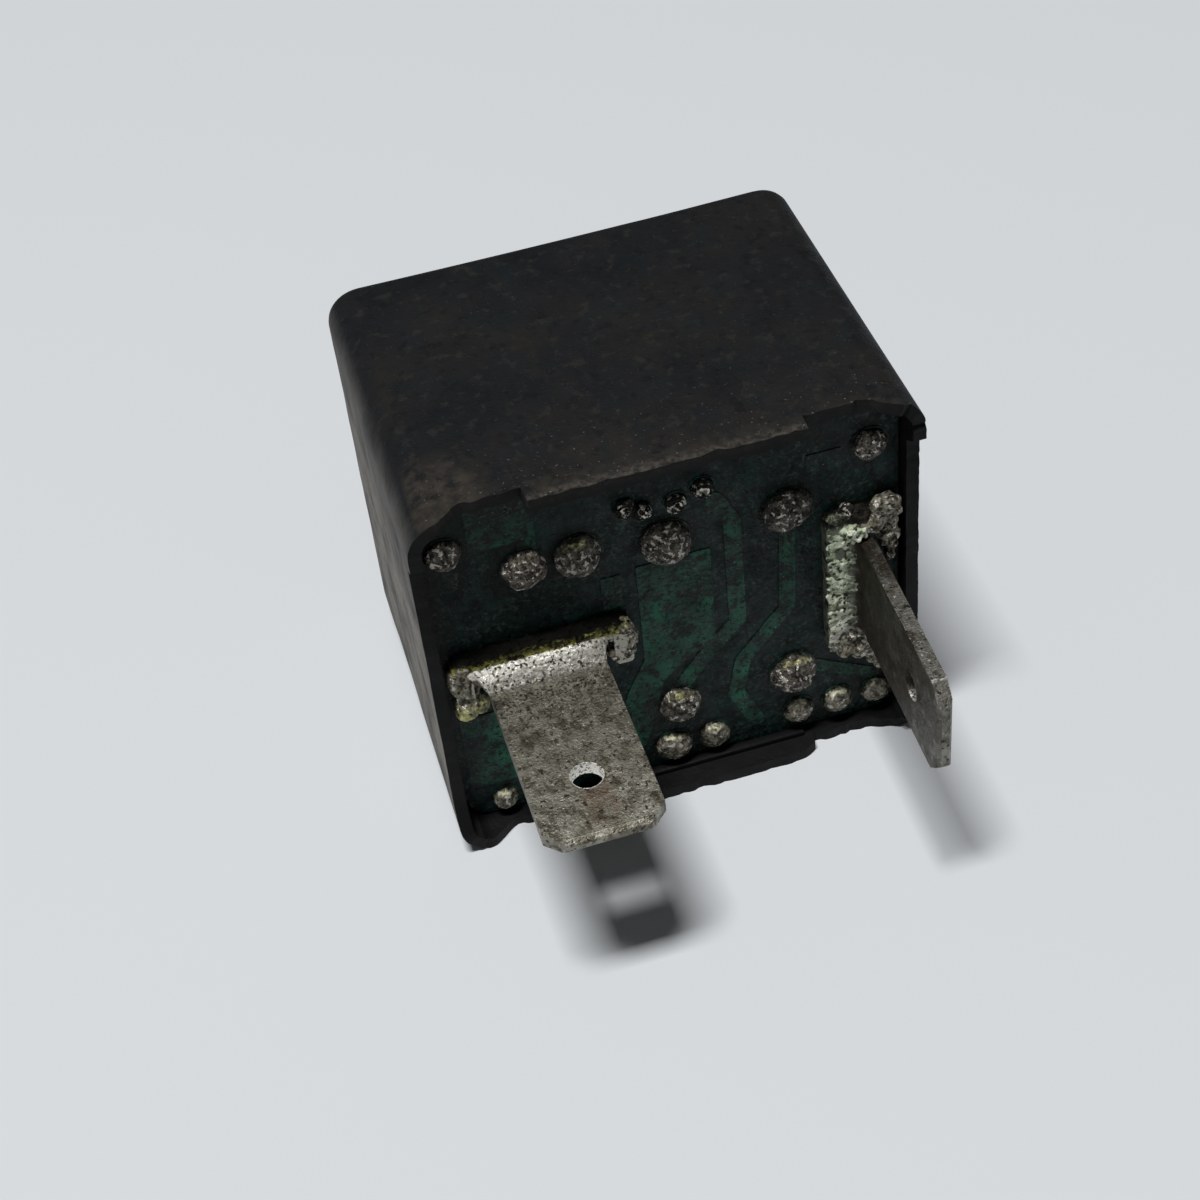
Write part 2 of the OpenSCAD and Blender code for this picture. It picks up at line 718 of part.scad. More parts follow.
module leaf_rivets() {
    color("#b9b5ab") from_rim() for (x = rivet_at) turned(x, rivet_z)
        polygon(concat([[0, armature_y + 0.05], [rivet_r, armature_y + 0.05]],
                       rivet_head(leaf_y + leaf_t, 1, 0.9, 0.35)));
}

// The end of a revolved outline: out under the head, over its chamfer, and back to the axis.
function rivet_head(y, way, r, h) =
    [[rivet_r, y], [r, y], [r, y + way * h / 2], [r - h / 2, y + way * h], [0, y + way * h]];

// A contact: its head, and the rivet's shank and tail on the other side of the strip.
function contact_outline(face, seat, strip, tail_r, tail_h) = let (way = sign(seat - face)) concat(
    [[0, face], [contact_r - 0.25, face], [contact_r, face + way * 0.2], [contact_r, seat],
     [rivet_r, seat]],
    rivet_head(seat + way * strip, way, tail_r, tail_h));

module moving_contact() {
    color("#c9c6bd") from_rim() turned(contact_x, contact_z)
        polygon(contact_outline(moving_face, leaf_y, leaf_t, 0.8, 0.25));
}

module fixed_contact() {
    color("#c9c6bd") from_rim() turned(contact_x, contact_z)
        polygon(contact_outline(fixed_face, strip_end_y, strip_t, 0.8, 0.25));
}

module fixed_contact_strip() {
    half = strip_w / 2;
    low = strip_z - strip_t / 2;
    color("#ad8a4e") from_rim() difference() {
        translate([contact_x, 0, 0]) {
            block(-half, half, board_back, strip_end_y, low, low + strip_t);
            block(-half, half, strip_end_y - strip_t, strip_end_y, low, contact_z + contact_r);
            for (side = [-1, 1]) {
                x = side * leg_pitch / 2;
                block(x - leg_w / 2 + 0.1, x + leg_w / 2 - 0.1, board_y - lead_end, board_back,
                      low, low + strip_t);
            }
        }
        rod(contact_x, contact_z, strip_end_y - strip_t - over, strip_end_y + over, rivet_r + fit);
    }
}

// ---------------------------------------------------------------- return spring

// Points of the wire: the hook on the yoke, the turns, and the hook on the armature's tail.
SPRING_TURNS = 8;
function hook(y, from, to) = [
    for (a = [from : 20 * sign(to - from) : to]) [0, y + hook_r * cos(a), hook_r * sin(a)]
];
function turns(y0, y1) = [
    for (i = [0 : SPRING_TURNS * 10]) let (a = i * 36 - 90)
        [spring_r * cos(a), y0 + (y1 - y0) * i / (SPRING_TURNS * 10), spring_r * sin(a)]
];
spring_path = concat(
    hook(spring_y1, -260, -60),
    turns(spring_y1 + hook_r * 0.5 + 0.45, spring_y2 - hook_r * 0.5 - 0.45),
    hook(spring_y2, -120, 80)
);
function unit(v) = v / norm(v);
function path_way(p, i) = unit(p[min(i + 1, len(p) - 1)] - p[max(i - 1, 0)]);
// The wire never runs along this direction for long, so it can carry each ring's frame.
function ring_side(way) = unit(cross(way, abs(way[0]) < 0.9 ? [1, 0, 0] : [0, 1, 0]));

module wire(path, r, sides) {
    count = len(path);
    sections = [for (i = [0 : count - 1]) let (w = path_way(path, i), s = ring_side(w), u = cross(w, s))
        for (k = [0 : sides - 1]) path[i] + r * (cos(360 * k / sides) * s + sin(360 * k / sides) * u)];
    walls = [for (i = [0 : count - 2], k = [0 : sides - 1]) let (n = (k + 1) % sides)
        [i * sides + k, i * sides + n, (i + 1) * sides + n, (i + 1) * sides + k]];
    ends = [[for (k = [sides - 1 : -1 : 0]) k], [for (k = [0 : sides - 1]) (count - 1) * sides + k]];
    polyhedron(points = sections, faces = concat(walls, ends), convexity = 10);
}

module return_spring() {
    color("#a7a49c") from_rim() translate([coil_x, 0, spring_z]) wire(spring_path, spring_wire_r, 6);
}

// ---------------------------------------------------------------- components

module capacitor_can() {
    lip = 0.4;
    groove_y = cap_y + 1.6;
    color("#23262b") from_rim() difference() {
        turned(cap_x, cap_z) polygon([
            [cap_r - lip, cap_y], [cap_r - 0.1, cap_y], [cap_r, cap_y + 0.3],
            [cap_r, groove_y - 0.5], [cap_r - 0.35, groove_y], [cap_r, groove_y + 0.5],
            [cap_r, cap_y + cap_h - 0.4], [cap_r - 0.4, cap_y + cap_h],
            [0, cap_y + cap_h], [0, cap_y + 2.4], [cap_r - cap_skin - 0.35, cap_y + 2.4],
            [cap_r - cap_skin - 0.35, groove_y + 0.2], [cap_r - cap_skin - 0.35, cap_y + 0.2]
        ]);
        // the cross that lets the can's end open safely
        for (turn = [0, 90]) translate([cap_x, cap_y + cap_h, cap_z]) rotate([0, turn, 0])
            cube([cap_r * 1.3, 0.24, 0.25], center = true);
    }
}

module capacitor_bung() {
    color("#3a3a3a") from_rim() difference() {
        rod(cap_x, cap_z, cap_y + 0.25, cap_y + 2.4 - fit, cap_r - cap_skin - 0.35 - fit);
        for (side = [-1, 1])
            rod(cap_x + side * cap_pitch / 2, cap_z, cap_y, cap_y + 2.4, lead_r + fit);
    }
}

module capacitor_leads() {
    color("#b5b0a6") from_rim() for (side = [-1, 1])
        rod(cap_x + side * cap_pitch / 2, cap_z, board_y - lead_end, cap_y + 2, lead_r);
}

module shunt_wire() {
    r = (shunt_x[1] - shunt_x[0]) / 2;
    color("#9b6a45") from_rim() {
        for (x = shunt_x) rod(x, shunt_z, board_y - lead_end, shunt_top, shunt_r);
        translate([shunt_x[0] + r, shunt_top, shunt_z])
            rotate_extrude(angle = 180) translate([r, 0]) circle(shunt_r);
    }
}

// A resistor's body: two caps and a thinner waist, on an axis along X.
module resistor_body(ends) {
    x = (ends[0] + ends[1]) / 2 - resistor_l / 2;
    cap_l = 1.4;
    waist = resistor_r - 0.2;
    translate([x, axial_y, resistor_z]) rotate([0, 90, 0]) difference() {
        rotate_extrude() polygon([
            [0, 0], [resistor_r - 0.3, 0], [resistor_r, 0.3], [resistor_r, cap_l - 0.3],
            [waist, cap_l], [waist, resistor_l - cap_l],
            [resistor_r, resistor_l - cap_l + 0.3], [resistor_r, resistor_l - 0.3],
            [resistor_r - 0.3, resistor_l], [0, resistor_l]
        ]);
        for (z = [-over, resistor_l - 0.8]) translate([0, 0, z])
            cylinder(r = lead_r + fit, h = 0.8 + over);
    }
}

module axial_leads(ends, body_l, z, y_axis) {
    mid = (ends[0] + ends[1]) / 2;
    bent_lead(ends[0], mid - body_l / 2 + 0.75, z, y_axis, lead_r);
    bent_lead(ends[1], mid + body_l / 2 - 0.75, z, y_axis, lead_r);
}

module resistor_left() {
    color("#b49a6c") from_rim() resistor_body(resistor_left_x);
}

module resistor_left_leads() {
    color("#b5b0a6") from_rim() axial_leads(resistor_left_x, resistor_l, resistor_z, axial_y);
}

module resistor_right() {
    color("#7f9fb0") from_rim() resistor_body(resistor_right_x);
}

module resistor_right_leads() {
    color("#b5b0a6") from_rim() axial_leads(resistor_right_x, resistor_l, resistor_z, axial_y);
}

module diode() {
    x = (diode_x[0] + diode_x[1]) / 2 - diode_l / 2;
    color("#202020") from_rim() translate([x, diode_y, diode_z]) rotate([0, 90, 0]) difference() {
        cylinder(r = diode_r, h = diode_l);
        for (z = [-over, diode_l - 0.8]) translate([0, 0, z])
            cylinder(r = lead_r + fit, h = 0.8 + over);
    }
}

module diode_leads() {
    color("#b5b0a6") from_rim() axial_leads(diode_x, diode_l, diode_z, diode_y);
}

module power_transistor() {
    half = transistor_w / 2;
    low = transistor_z - transistor_t / 2;
    top = transistor_y + transistor_h;
    color("#26272a") from_rim() difference() {
        across(transistor_x - half, transistor_x + half) polygon([
            [transistor_y, low + plate_t], [top, low + plate_t], [top, low + transistor_t - 0.7],
            [top - 0.2, low + transistor_t], [transistor_y + 0.3, low + transistor_t],
            [transistor_y, low + plate_t + 0.8]
        ]);
        translate([transistor_x, top - 3, low - over])
            cylinder(r = 1.5, h = transistor_t + 2 * over);
        for (i = [-1 : 1]) transistor_lead(i, fit);
    }
}

// The bare metal plate on the transistor's back.
module transistor_plate() {
    low = transistor_z - transistor_t / 2;
    half = transistor_w / 2 - 0.9;
    color("#b9b5ab") from_rim() difference() {
        block(transistor_x - half, transistor_x + half, transistor_y + 1.8,
              transistor_y + transistor_h - 0.6, low, low + plate_t);
        translate([transistor_x, transistor_y + transistor_h - 3, low - over])
            cylinder(r = 1.7, h = transistor_t);
    }
}

module transistor_lead(i, grow) {
    x = transistor_x + i * transistor_pitch;
    w = lead_r * 0.8 + grow;
    block(x - w, x + w, board_y - lead_end, transistor_y + 1.2 + grow,
          transistor_z - w * 0.7, transistor_z + w * 0.7);
}

module transistor_leads() {
    color("#b5b0a6") from_rim() for (i = [-1 : 1]) transistor_lead(i, 0);
}

module disc_capacitor() {
    x = (disc_x[0] + disc_x[1]) / 2;
    color("#b8702c") from_rim() translate([x, disc_y, disc_z - disc_t / 2]) difference() {
        rotate_extrude() {
            rect(0, disc_r - disc_t / 4, 0, disc_t);
            rect(0, disc_r, disc_t / 4, disc_t * 3 / 4);
            for (z = [disc_t / 4, disc_t * 3 / 4]) translate([disc_r - disc_t / 4, z])
                circle(disc_t / 4);
        }
        for (px = disc_x) translate([px - x, -disc_r - over, disc_t / 2]) rotate([-90, 0, 0])
            cylinder(r = lead_r * 0.8 + fit, h = over + disc_r * 0.75);
    }
}

module disc_capacitor_leads() {
    color("#b5b0a6") from_rim() for (x = disc_x)
        rod(x, disc_z, board_y - lead_end, disc_y - disc_r * 0.35, lead_r * 0.8);
}

cover();
circuit_board();
copper_tracks();
solder_joints();
terminal_left();
terminal_right();
terminal_left_solder();
terminal_right_solder();
yoke();
core();
bobbin();
coil_winding();
coil_pin_left();
coil_pin_right();
armature();
contact_leaf();
leaf_rivets();
moving_contact();
fixed_contact_strip();
fixed_contact();
return_spring();
capacitor_can();
capacitor_bung();
capacitor_leads();
shunt_wire();
resistor_left();
resistor_left_leads();
resistor_right();
resistor_right_leads();
diode();
diode_leads();
power_transistor();
transistor_plate();
transistor_leads();
disc_capacitor();
disc_capacitor_leads();
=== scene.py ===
# %% [markdown]
# # A used automotive relay
# The relay is a black moulded cover over a small circuit board. Two tinned blades stick out of
# the board, and the coil, the armature and the electronics stand behind it, in the cover.
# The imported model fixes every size. This script gives each piece the surface of a relay that
# has spent years under a bonnet: dust, dull solder, flux crust and corroded tin.

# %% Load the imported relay
import math
import random

import bmesh
import bpy
from mathutils import Matrix, Vector, noise


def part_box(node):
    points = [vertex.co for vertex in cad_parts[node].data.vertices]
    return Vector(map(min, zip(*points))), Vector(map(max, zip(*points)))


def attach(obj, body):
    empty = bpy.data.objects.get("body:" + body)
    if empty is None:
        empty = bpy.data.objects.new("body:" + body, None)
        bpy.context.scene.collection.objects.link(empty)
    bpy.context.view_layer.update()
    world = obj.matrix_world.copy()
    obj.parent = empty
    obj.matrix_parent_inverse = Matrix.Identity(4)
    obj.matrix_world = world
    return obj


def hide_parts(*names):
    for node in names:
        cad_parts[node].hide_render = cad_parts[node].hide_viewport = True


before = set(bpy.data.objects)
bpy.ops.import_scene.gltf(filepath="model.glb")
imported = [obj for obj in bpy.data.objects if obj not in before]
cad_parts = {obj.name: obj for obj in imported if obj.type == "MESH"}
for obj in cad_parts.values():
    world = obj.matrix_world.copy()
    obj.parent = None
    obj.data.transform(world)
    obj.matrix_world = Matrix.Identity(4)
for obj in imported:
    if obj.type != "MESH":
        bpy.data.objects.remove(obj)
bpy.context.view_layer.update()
MM = 0.001

# %% [markdown]
# Lengths are easiest to think about in millimetres from the rim of the cover, as its maker
# would measure them. Each bmesh is therefore built in millimetres from the rim, and one
# function scales it and moves it into the part's frame.

# %% Places that every piece shares
cover_low, cover_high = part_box("cover")
rim_y = cover_low.y / MM
cover_w = (cover_high.x - cover_low.x) / MM
cover_h = (cover_high.z - cover_low.z) / MM
cover_d = (cover_high.y - cover_low.y) / MM
half_w = cover_w / 2
half_h = cover_h / 2
print("cover", round(cover_w, 2), "x", round(cover_h, 2), "x", round(cover_d, 2), "mm")


def linked(name, data):
    """A new object, linked into the scene."""
    made = bpy.data.objects.new(name, data)
    bpy.context.scene.collection.objects.link(made)
    return made


def span(node):
    """A node's lowest and highest corner in millimetres, with y measured from the rim."""
    low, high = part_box(node)
    shift = Vector((0, rim_y, 0))
    return low / MM - shift, high / MM - shift


def piece_from(bm, name, body="base", smooth=True):
    """Turns a bmesh in millimetres from the rim into a piece in the part's frame."""
    bmesh.ops.translate(bm, verts=bm.verts, vec=(0, rim_y, 0))
    bmesh.ops.scale(bm, verts=bm.verts, vec=(MM, MM, MM))
    mesh = bpy.data.meshes.new(name)
    bm.to_mesh(mesh)
    bm.free()
    mesh.polygons.foreach_set("use_smooth", [smooth] * len(mesh.polygons))
    piece = linked(name, mesh)
    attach(piece, body)
    print(name, len(mesh.polygons), "faces")
    return piece


def copy_of(node):
    """A copy of a CAD node's mesh, its loose triangles merged, in millimetres from the rim."""
    bm = bmesh.new()
    bm.from_mesh(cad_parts[node].data)
    bmesh.ops.remove_doubles(bm, verts=bm.verts, dist=1e-7)
    bmesh.ops.scale(bm, verts=bm.verts, vec=(1 / MM, 1 / MM, 1 / MM))
    bmesh.ops.translate(bm, verts=bm.verts, vec=(0, -rim_y, 0))
    return bm


# %% [markdown]
# ## Camera, floor and light
# A short telephoto view from above and a little to the left, turned by a few degrees, looks
# into the open front of the relay. A plain pale floor carries it. One lamp that is long in X
# stands almost overhead and throws the soft shadows of the blades, and a dim even world
# fills them.

# %% Camera
camera_data = bpy.data.cameras.new("camera")
camera_data.lens = 71.66
camera_data.sensor_width = 36
camera_data.clip_start = 0.01
camera = linked("camera", camera_data)
camera.location = Vector((-21.32, -88.56, 100.59)) * MM
camera.rotation_euler = [math.radians(a) for a in (45.230, 4.869, -16.378)]
bpy.context.scene.camera = camera
bpy.context.scene.view_settings.view_transform = "Standard"
print("camera at", [round(c, 4) for c in camera.location])


# %% Colours, nodes and shaders
def colour(code):
    """An sRGB hex value as a linear colour."""
    parts = [int(code[i:i + 2], 16) / 255 for i in (1, 3, 5)]
    return [c / 12.92 if c < 0.04045 else ((c + 0.055) / 1.055) ** 2.4 for c in parts] + [1]


def add(owner, kind, inputs=None, **settings):
    """Adds one node to a material, given by itself or by any socket of its nodes.
    A socket in inputs is linked, and anything else is set."""
    tree = owner.node_tree if isinstance(owner, bpy.types.Material) else owner.id_data
    node = tree.nodes.new(kind)
    for name, value in settings.items():
        setattr(node, name, value)
    for name, value in (inputs or {}).items():
        if isinstance(value, bpy.types.NodeSocket):
            tree.links.new(value, node.inputs[name])
        else:
            node.inputs[name].default_value = value
    return node


def shader_of(material):
    return material.node_tree.nodes["Principled BSDF"]


def finish(name, base, roughness, metallic=0.0, ior=None, gloss=0.5):
    """A material with the values that are the same all over its surface. gloss is the
    specular level: 0.5 for a clean surface, and less where dust has killed the shine."""
    material = bpy.data.materials.new(name)
    material.use_nodes = True
    shader = shader_of(material)
    for socket, value in (("Base Color", colour(base)), ("Roughness", roughness),
                          ("Metallic", metallic), ("Specular IOR Level", gloss)):
        shader.inputs[socket].default_value = value
    if ior:
        shader.inputs["IOR"].default_value = ior
    return material


# %% Floor
floor_bm = bmesh.new()
bmesh.ops.create_grid(floor_bm, x_segments=1, y_segments=1, size=3)
floor_mesh = bpy.data.meshes.new("floor")
floor_bm.to_mesh(floor_mesh)
floor_bm.free()
floor = linked("floor", floor_mesh)
floor_mesh.materials.append(finish("pale floor", "#d2d5d8", 0.8, gloss=0.2))

# %% Lamp and world
lamp_data = bpy.data.lights.new("overhead lamp", "AREA")
lamp_data.shape = "RECTANGLE"
lamp_data.size = 0.26
lamp_data.size_y = 0.11
lamp_data.energy = 8.0
lamp = linked("overhead lamp", lamp_data)
lamp_way = Vector((-0.17, -0.12, 0.98)).normalized()
lamp.location = lamp_way * 0.9
long_side = Vector((1, 0, 0)) - lamp_way * lamp_way.x
turned = Matrix((long_side.normalized(), lamp_way.cross(long_side).normalized(), lamp_way))
lamp.rotation_euler = turned.transposed().to_euler()
world = bpy.data.worlds.new("even room")
world.use_nodes = True
world.node_tree.nodes["Background"].inputs["Color"].default_value = colour("#eef2f6")
world.node_tree.nodes["Background"].inputs["Strength"].default_value = 0.085
bpy.context.scene.world = world

# %% [markdown]
# ## Finishes
# Every finish is a Principled shader fed by a few noise patterns on Object coordinates. Grime,
# dust and corrosion all gather in patches, so one helper makes a patchy mask of a given size
# in millimetres, and another lays one colour over another through it.


# %% Patterns
def place(material, stretch=(1, 1, 1)):
    """Object coordinates, shrunk along an axis where a pattern runs along it."""
    where = add(material, "ShaderNodeTexCoord").outputs["Object"]
    if stretch == (1, 1, 1):
        return where
    return add(material, "ShaderNodeMapping", {"Vector": where, "Scale": stretch}).outputs[0]


def ramp(value, low, high):
    """A mask that goes from 0 to 1 as a value goes from low to high."""
    return add(value, "ShaderNodeMapRange", {
        "Value": value, "From Min": low, "From Max": high}).outputs[0]


def patches(material, size, low, high, detail=4.0, stretch=(1, 1, 1)):
    """A mask of patches about size millimetres across: 0 below low and 1 above high."""
    grain = add(material, "ShaderNodeTexNoise", {
        "Vector": place(material, stretch), "Scale": 1 / (size * MM), "Detail": detail,
        "Roughness": 0.6})
    return ramp(grain.outputs["Fac"], low, high)


def along(material, axis, start, end):
    """A mask that rises from 0 at start to 1 at end, in millimetres of the part's frame."""
    parts = add(material, "ShaderNodeSeparateXYZ", {"Vector": place(material)})
    return ramp(parts.outputs[axis], start * MM, end * MM)


def facing(material, axis, start, end):
    """A mask that rises from 0 to 1 as the normal's share of an axis goes from start to end."""
    normal = add(material, "ShaderNodeTexCoord").outputs["Normal"]
    parts = add(material, "ShaderNodeSeparateXYZ", {"Vector": normal})
    return ramp(parts.outputs[axis], start, end)


def within(material, centre, radius, edge, flat=(1, 1, 1)):
    """A soft spot round a point in millimetres from the rim; a 0 in flat makes it a rod."""
    point = [(c + shift) * MM * f for c, shift, f in zip(centre, (0, rim_y, 0), flat)]
    way = add(material, "ShaderNodeVectorMath", {
        0: place(material, flat), 1: point}, operation="DISTANCE").outputs["Value"]
    return ramp(way, (radius + edge) * MM, radius * MM)


def both(first, second, how="MULTIPLY"):
    """Two masks made one."""
    return add(first, "ShaderNodeMath", {0: first, 1: second}, operation=how,
               use_clamp=True).outputs[0]


def between(material, axis, low, high, edge):
    """A mask that is 1 between two places on an axis and fades just inside them."""
    return both(along(material, axis, low, low + edge), along(material, axis, high, high - edge))


def broken(mask, size, low, high, detail=4.0):
    """A mask broken up into patches, as dirt and wear are."""
    return both(mask, patches(mask, size, low, high, detail))


# %% [markdown]
# A surface is painted as it grew old: a base colour first, and over it one coat after another
# of soot, dust, flux, rub marks, painted light or painted shade, each through its own mask.
# Relief and roughness come last.


# %% Coats, relief and roughness
def painted(base, *coats):
    """Lays coats over a base. Each is a hex value, its mask and how strong it is at most."""
    for code, mask, strength in coats:
        if strength < 1:
            mask = both(mask, strength)
        base = add(mask, "ShaderNodeMix", {0: mask, 6: base, 7: colour(code)},
                   data_type="RGBA").outputs[2]
    return base


def relief(material, size, depth, below=None, **pattern):
    """Bumps the surface by up to depth millimetres, in grains about size millimetres across."""
    inputs = {"Height": patches(material, size, 0.3, 0.7, **pattern), "Distance": depth * MM,
              "Strength": 1.0}
    if below:
        inputs["Normal"] = below
    return add(material, "ShaderNodeBump", inputs).outputs[0]


def rough_by(mask, low, high):
    """Roughness that follows a mask."""
    return add(mask, "ShaderNodeMapRange", {
        "Value": mask, "To Min": low, "To Max": high}).outputs[0]


def wear(material, base_socket, rough_socket, normal_socket):
    """Connects what a finish has worked out to its shader."""
    shader = shader_of(material)
    for name, socket in (("Base Color", base_socket), ("Roughness", rough_socket),
                         ("Normal", normal_socket)):
        if socket:
            material.node_tree.links.new(socket, shader.inputs[name])
    return material


# %% [markdown]
# ### Moulded cover
# The cover is moulded PBT, a black engineering plastic that turns matt with heat. Dust lies in
# its fine grain, brown dirt has gathered round the rim, and handling has left faint rubs. Its
# inside and the cut faces of its rim are darkened with painted shade, and its left wall is
# painted paler, partly dust and partly painted light.

# %% Moulded PBT, worn matt
pbt = finish("moulded PBT worn matt", "#18191a", 0.62, ior=1.5, gloss=0.16)
outside = along(pbt, "Z", cover_h - 0.5, cover_h - 0.3)
near_rim = both(along(pbt, "Y", rim_y + 6, rim_y + 0.3), outside)
rim_band = both(along(pbt, "Y", rim_y + 1.5, rim_y + 0.8), outside)
rim_edge = both(both(along(pbt, "Y", rim_y + 0.75, rim_y + 0.3), outside),
                between(pbt, "X", -8.5, 8.5, 1.0))
corner_dirt = broken(within(pbt, (-11.3, 2.2, cover_h), 1.2, 2.2), 1.0, 0.38, 0.6, 6)
# The outside of the left wall is painted paler: partly dust, partly painted light on that side.
left_wall = both(both(along(pbt, "X", 0.7 - half_w, 0.1 - half_w), along(pbt, "Z", 0.5, 4)),
                 both(facing(pbt, "X", -0.5, -0.8), along(pbt, "Z", cover_h + 1, cover_h - 9)))
specks = patches(pbt, 0.17, 0.67, 0.72, detail=3)

# The hollow is all that lies deeper than the skin, and deeper still where the corners are round.
# The cover is painted near black there, as shade.
skin, corner_skin, blur = 0.66, 1.2, 0.02
in_z, mid_z = (between(pbt, "Z", deep, cover_h - deep, blur) for deep in (skin, corner_skin))
in_x, mid_x = (between(pbt, "X", deep - half_w, half_w - deep, blur)
               for deep in (skin, corner_skin))
hollow_shade = both(both(in_z, mid_x), both(in_x, mid_z), "ADD")
hollow_shade = both(hollow_shade, along(pbt, "Y", rim_y + cover_d - skin, rim_y + cover_d - skin - blur))
# The cut faces of the rim that face the front are darkened as painted shade.
cut_face_shade = both(facing(pbt, "Y", -0.6, -0.85), along(pbt, "Y", rim_y + 3, rim_y + 2.5))

# %% Coats of dirt and dust on the cover, with painted shade and painted light
pbt_base = painted(
    colour("#121417"),
    ("#1c1b1a", patches(pbt, 5, 0.35, 0.7), 1),
    ("#282420", broken(near_rim, 1.8, 0.38, 0.7), 0.8),
    ("#2f2c28", broken(rim_band, 0.8, 0.40, 0.62), 0.8),
    ("#26241f", patches(pbt, 1.6, 0.52, 0.78, stretch=(1, 0.35, 1)), 0.4),
    ("#14191b", patches(pbt, 2.2, 0.5, 0.62, detail=6), 0.7),
    ("#0d0e10", patches(pbt, 0.7, 0.54, 0.66, detail=6), 0.7),
    ("#262622", patches(pbt, 0.8, 0.56, 0.66, detail=6), 0.7),
    ("#4f4a43", broken(rim_edge, 0.35, 0.42, 0.62, 6), 0.7),
    ("#3f3932", both(corner_dirt, outside), 0.75),
    # Painted light and dust on the left wall, then dark specks of dirt over it.
    ("#8d877e", broken(left_wall, 3, 0.25, 0.6), 0.9),
    ("#2a2927", broken(left_wall, 0.35, 0.5, 0.66), 0.5),
    ("#7a766e", both(specks, near_rim), 0.9),
    ("#4a4743", both(specks, outside), 0.4),
    # Painted shade: near black inside the cover and on the cut faces of its rim.
    ("#060607", hollow_shade, 0.8),
    ("#070707", cut_face_shade, 0.85))
pbt_normal = relief(pbt, 0.16, 0.012, relief(pbt, 1.6, 0.03), detail=3)
wear(pbt, pbt_base, rough_by(patches(pbt, 2.6, 0.3, 0.7), 0.52, 0.72), pbt_normal)
print(pbt.name, "has", len(pbt.node_tree.nodes), "nodes")

# %% [markdown]
# ## Cover
# A grid becomes the closed end: its corners are pulled onto the cover's rounded outline. The
# grid's edge is then extruded row by row towards the rim, which gives long clean walls. Last,
# the rim is cut back into tabs, notches and lugs by sliding the rows along the wall, so that
# the wall stays flat, and solidify gives it its thickness on the inside.

# %% Outline of the cover
wall = 0.7
corner_r = 2.4
end_r = 0.6
draft = 0.19


def on_outline(x, z, half_x, half_z, r):
    """Pulls a point of a square grid into a rectangle with round corners."""
    past_x, past_z = abs(x) - (half_x - r), abs(z) - (half_z - r)
    if past_x > 0 and past_z > 0:
        a, b = past_x / r, past_z / r
        x = math.copysign(half_x - r + r * a * math.sqrt(1 - b * b / 2), x)
        z = math.copysign(half_z - r + r * b * math.sqrt(1 - a * a / 2), z)
    return x, z


cover_bm = bmesh.new()
cell = 0.3
bmesh.ops.create_grid(cover_bm, x_segments=round(cover_w / cell),
                      y_segments=round(cover_h / cell), size=0.5)
bmesh.ops.scale(cover_bm, verts=cover_bm.verts,
                vec=(cover_w - 2 * end_r, cover_h - 2 * end_r, 1))
bmesh.ops.rotate(cover_bm, verts=cover_bm.verts,
                 matrix=Matrix.Rotation(math.radians(90), 3, "X"))
for v in cover_bm.verts:
    v.co.x, v.co.z = on_outline(v.co.x, v.co.z, half_w - end_r, half_h - end_r,
                                corner_r - end_r)
    v.co.y = cover_d
print("closed end:", len(cover_bm.faces), "faces")


# %% Walls
def next_row(bm, edges, grow, step):
    """Extrudes an open edge once, then widens it and moves it towards the rim."""
    made = bmesh.ops.extrude_edge_only(bm, edges=edges)["geom"]
    verts = [g for g in made if isinstance(g, bmesh.types.BMVert)]
    ring = [g for g in made if isinstance(g, bmesh.types.BMEdge) and g.is_boundary]
    wide = max(abs(v.co.x) for v in verts)
    high = max(abs(v.co.z) for v in verts)
    bmesh.ops.scale(bm, verts=verts, vec=(1 + grow / wide, 1, 1 + grow / high))
    bmesh.ops.translate(bm, verts=verts, vec=(0, -step, 0))
    return ring


ring = [e for e in cover_bm.edges if e.is_boundary]
turn_steps = 4
for i in range(turn_steps):
    a, b = (math.radians(90 * k / turn_steps) for k in (i, i + 1))
    ring = next_row(cover_bm, ring, end_r * (math.sin(b) - math.sin(a)),
                    end_r * (math.cos(a) - math.cos(b)))
rows = round((cover_d - end_r) / cell)
for i in range(rows):
    ring = next_row(cover_bm, ring, 0, (cover_d - end_r) / rows)
print("walls:", len(cover_bm.faces), "faces in all")

# %% [markdown]
# The rim of the real cover has a middle tab on its long sides, a notch at each end of it, and
# lugs that wrap round the corners. Years of heat and prying have left it ragged, so a little
# noise breaks every edge, and the outer ends of the notches slope into the lugs.

# %% Tabs, notches and lugs
tab_half, tab_round = 7.15, 1.1
notch_end, notch_depth = 10.35, 1.05
ramp_start = notch_end - 0.4
side_cut, lug_drop = 0.9, 3.0
fade = 5.0


def ease(t):
    t = min(max(t, 0), 1)
    return t * t * (3 - 2 * t)


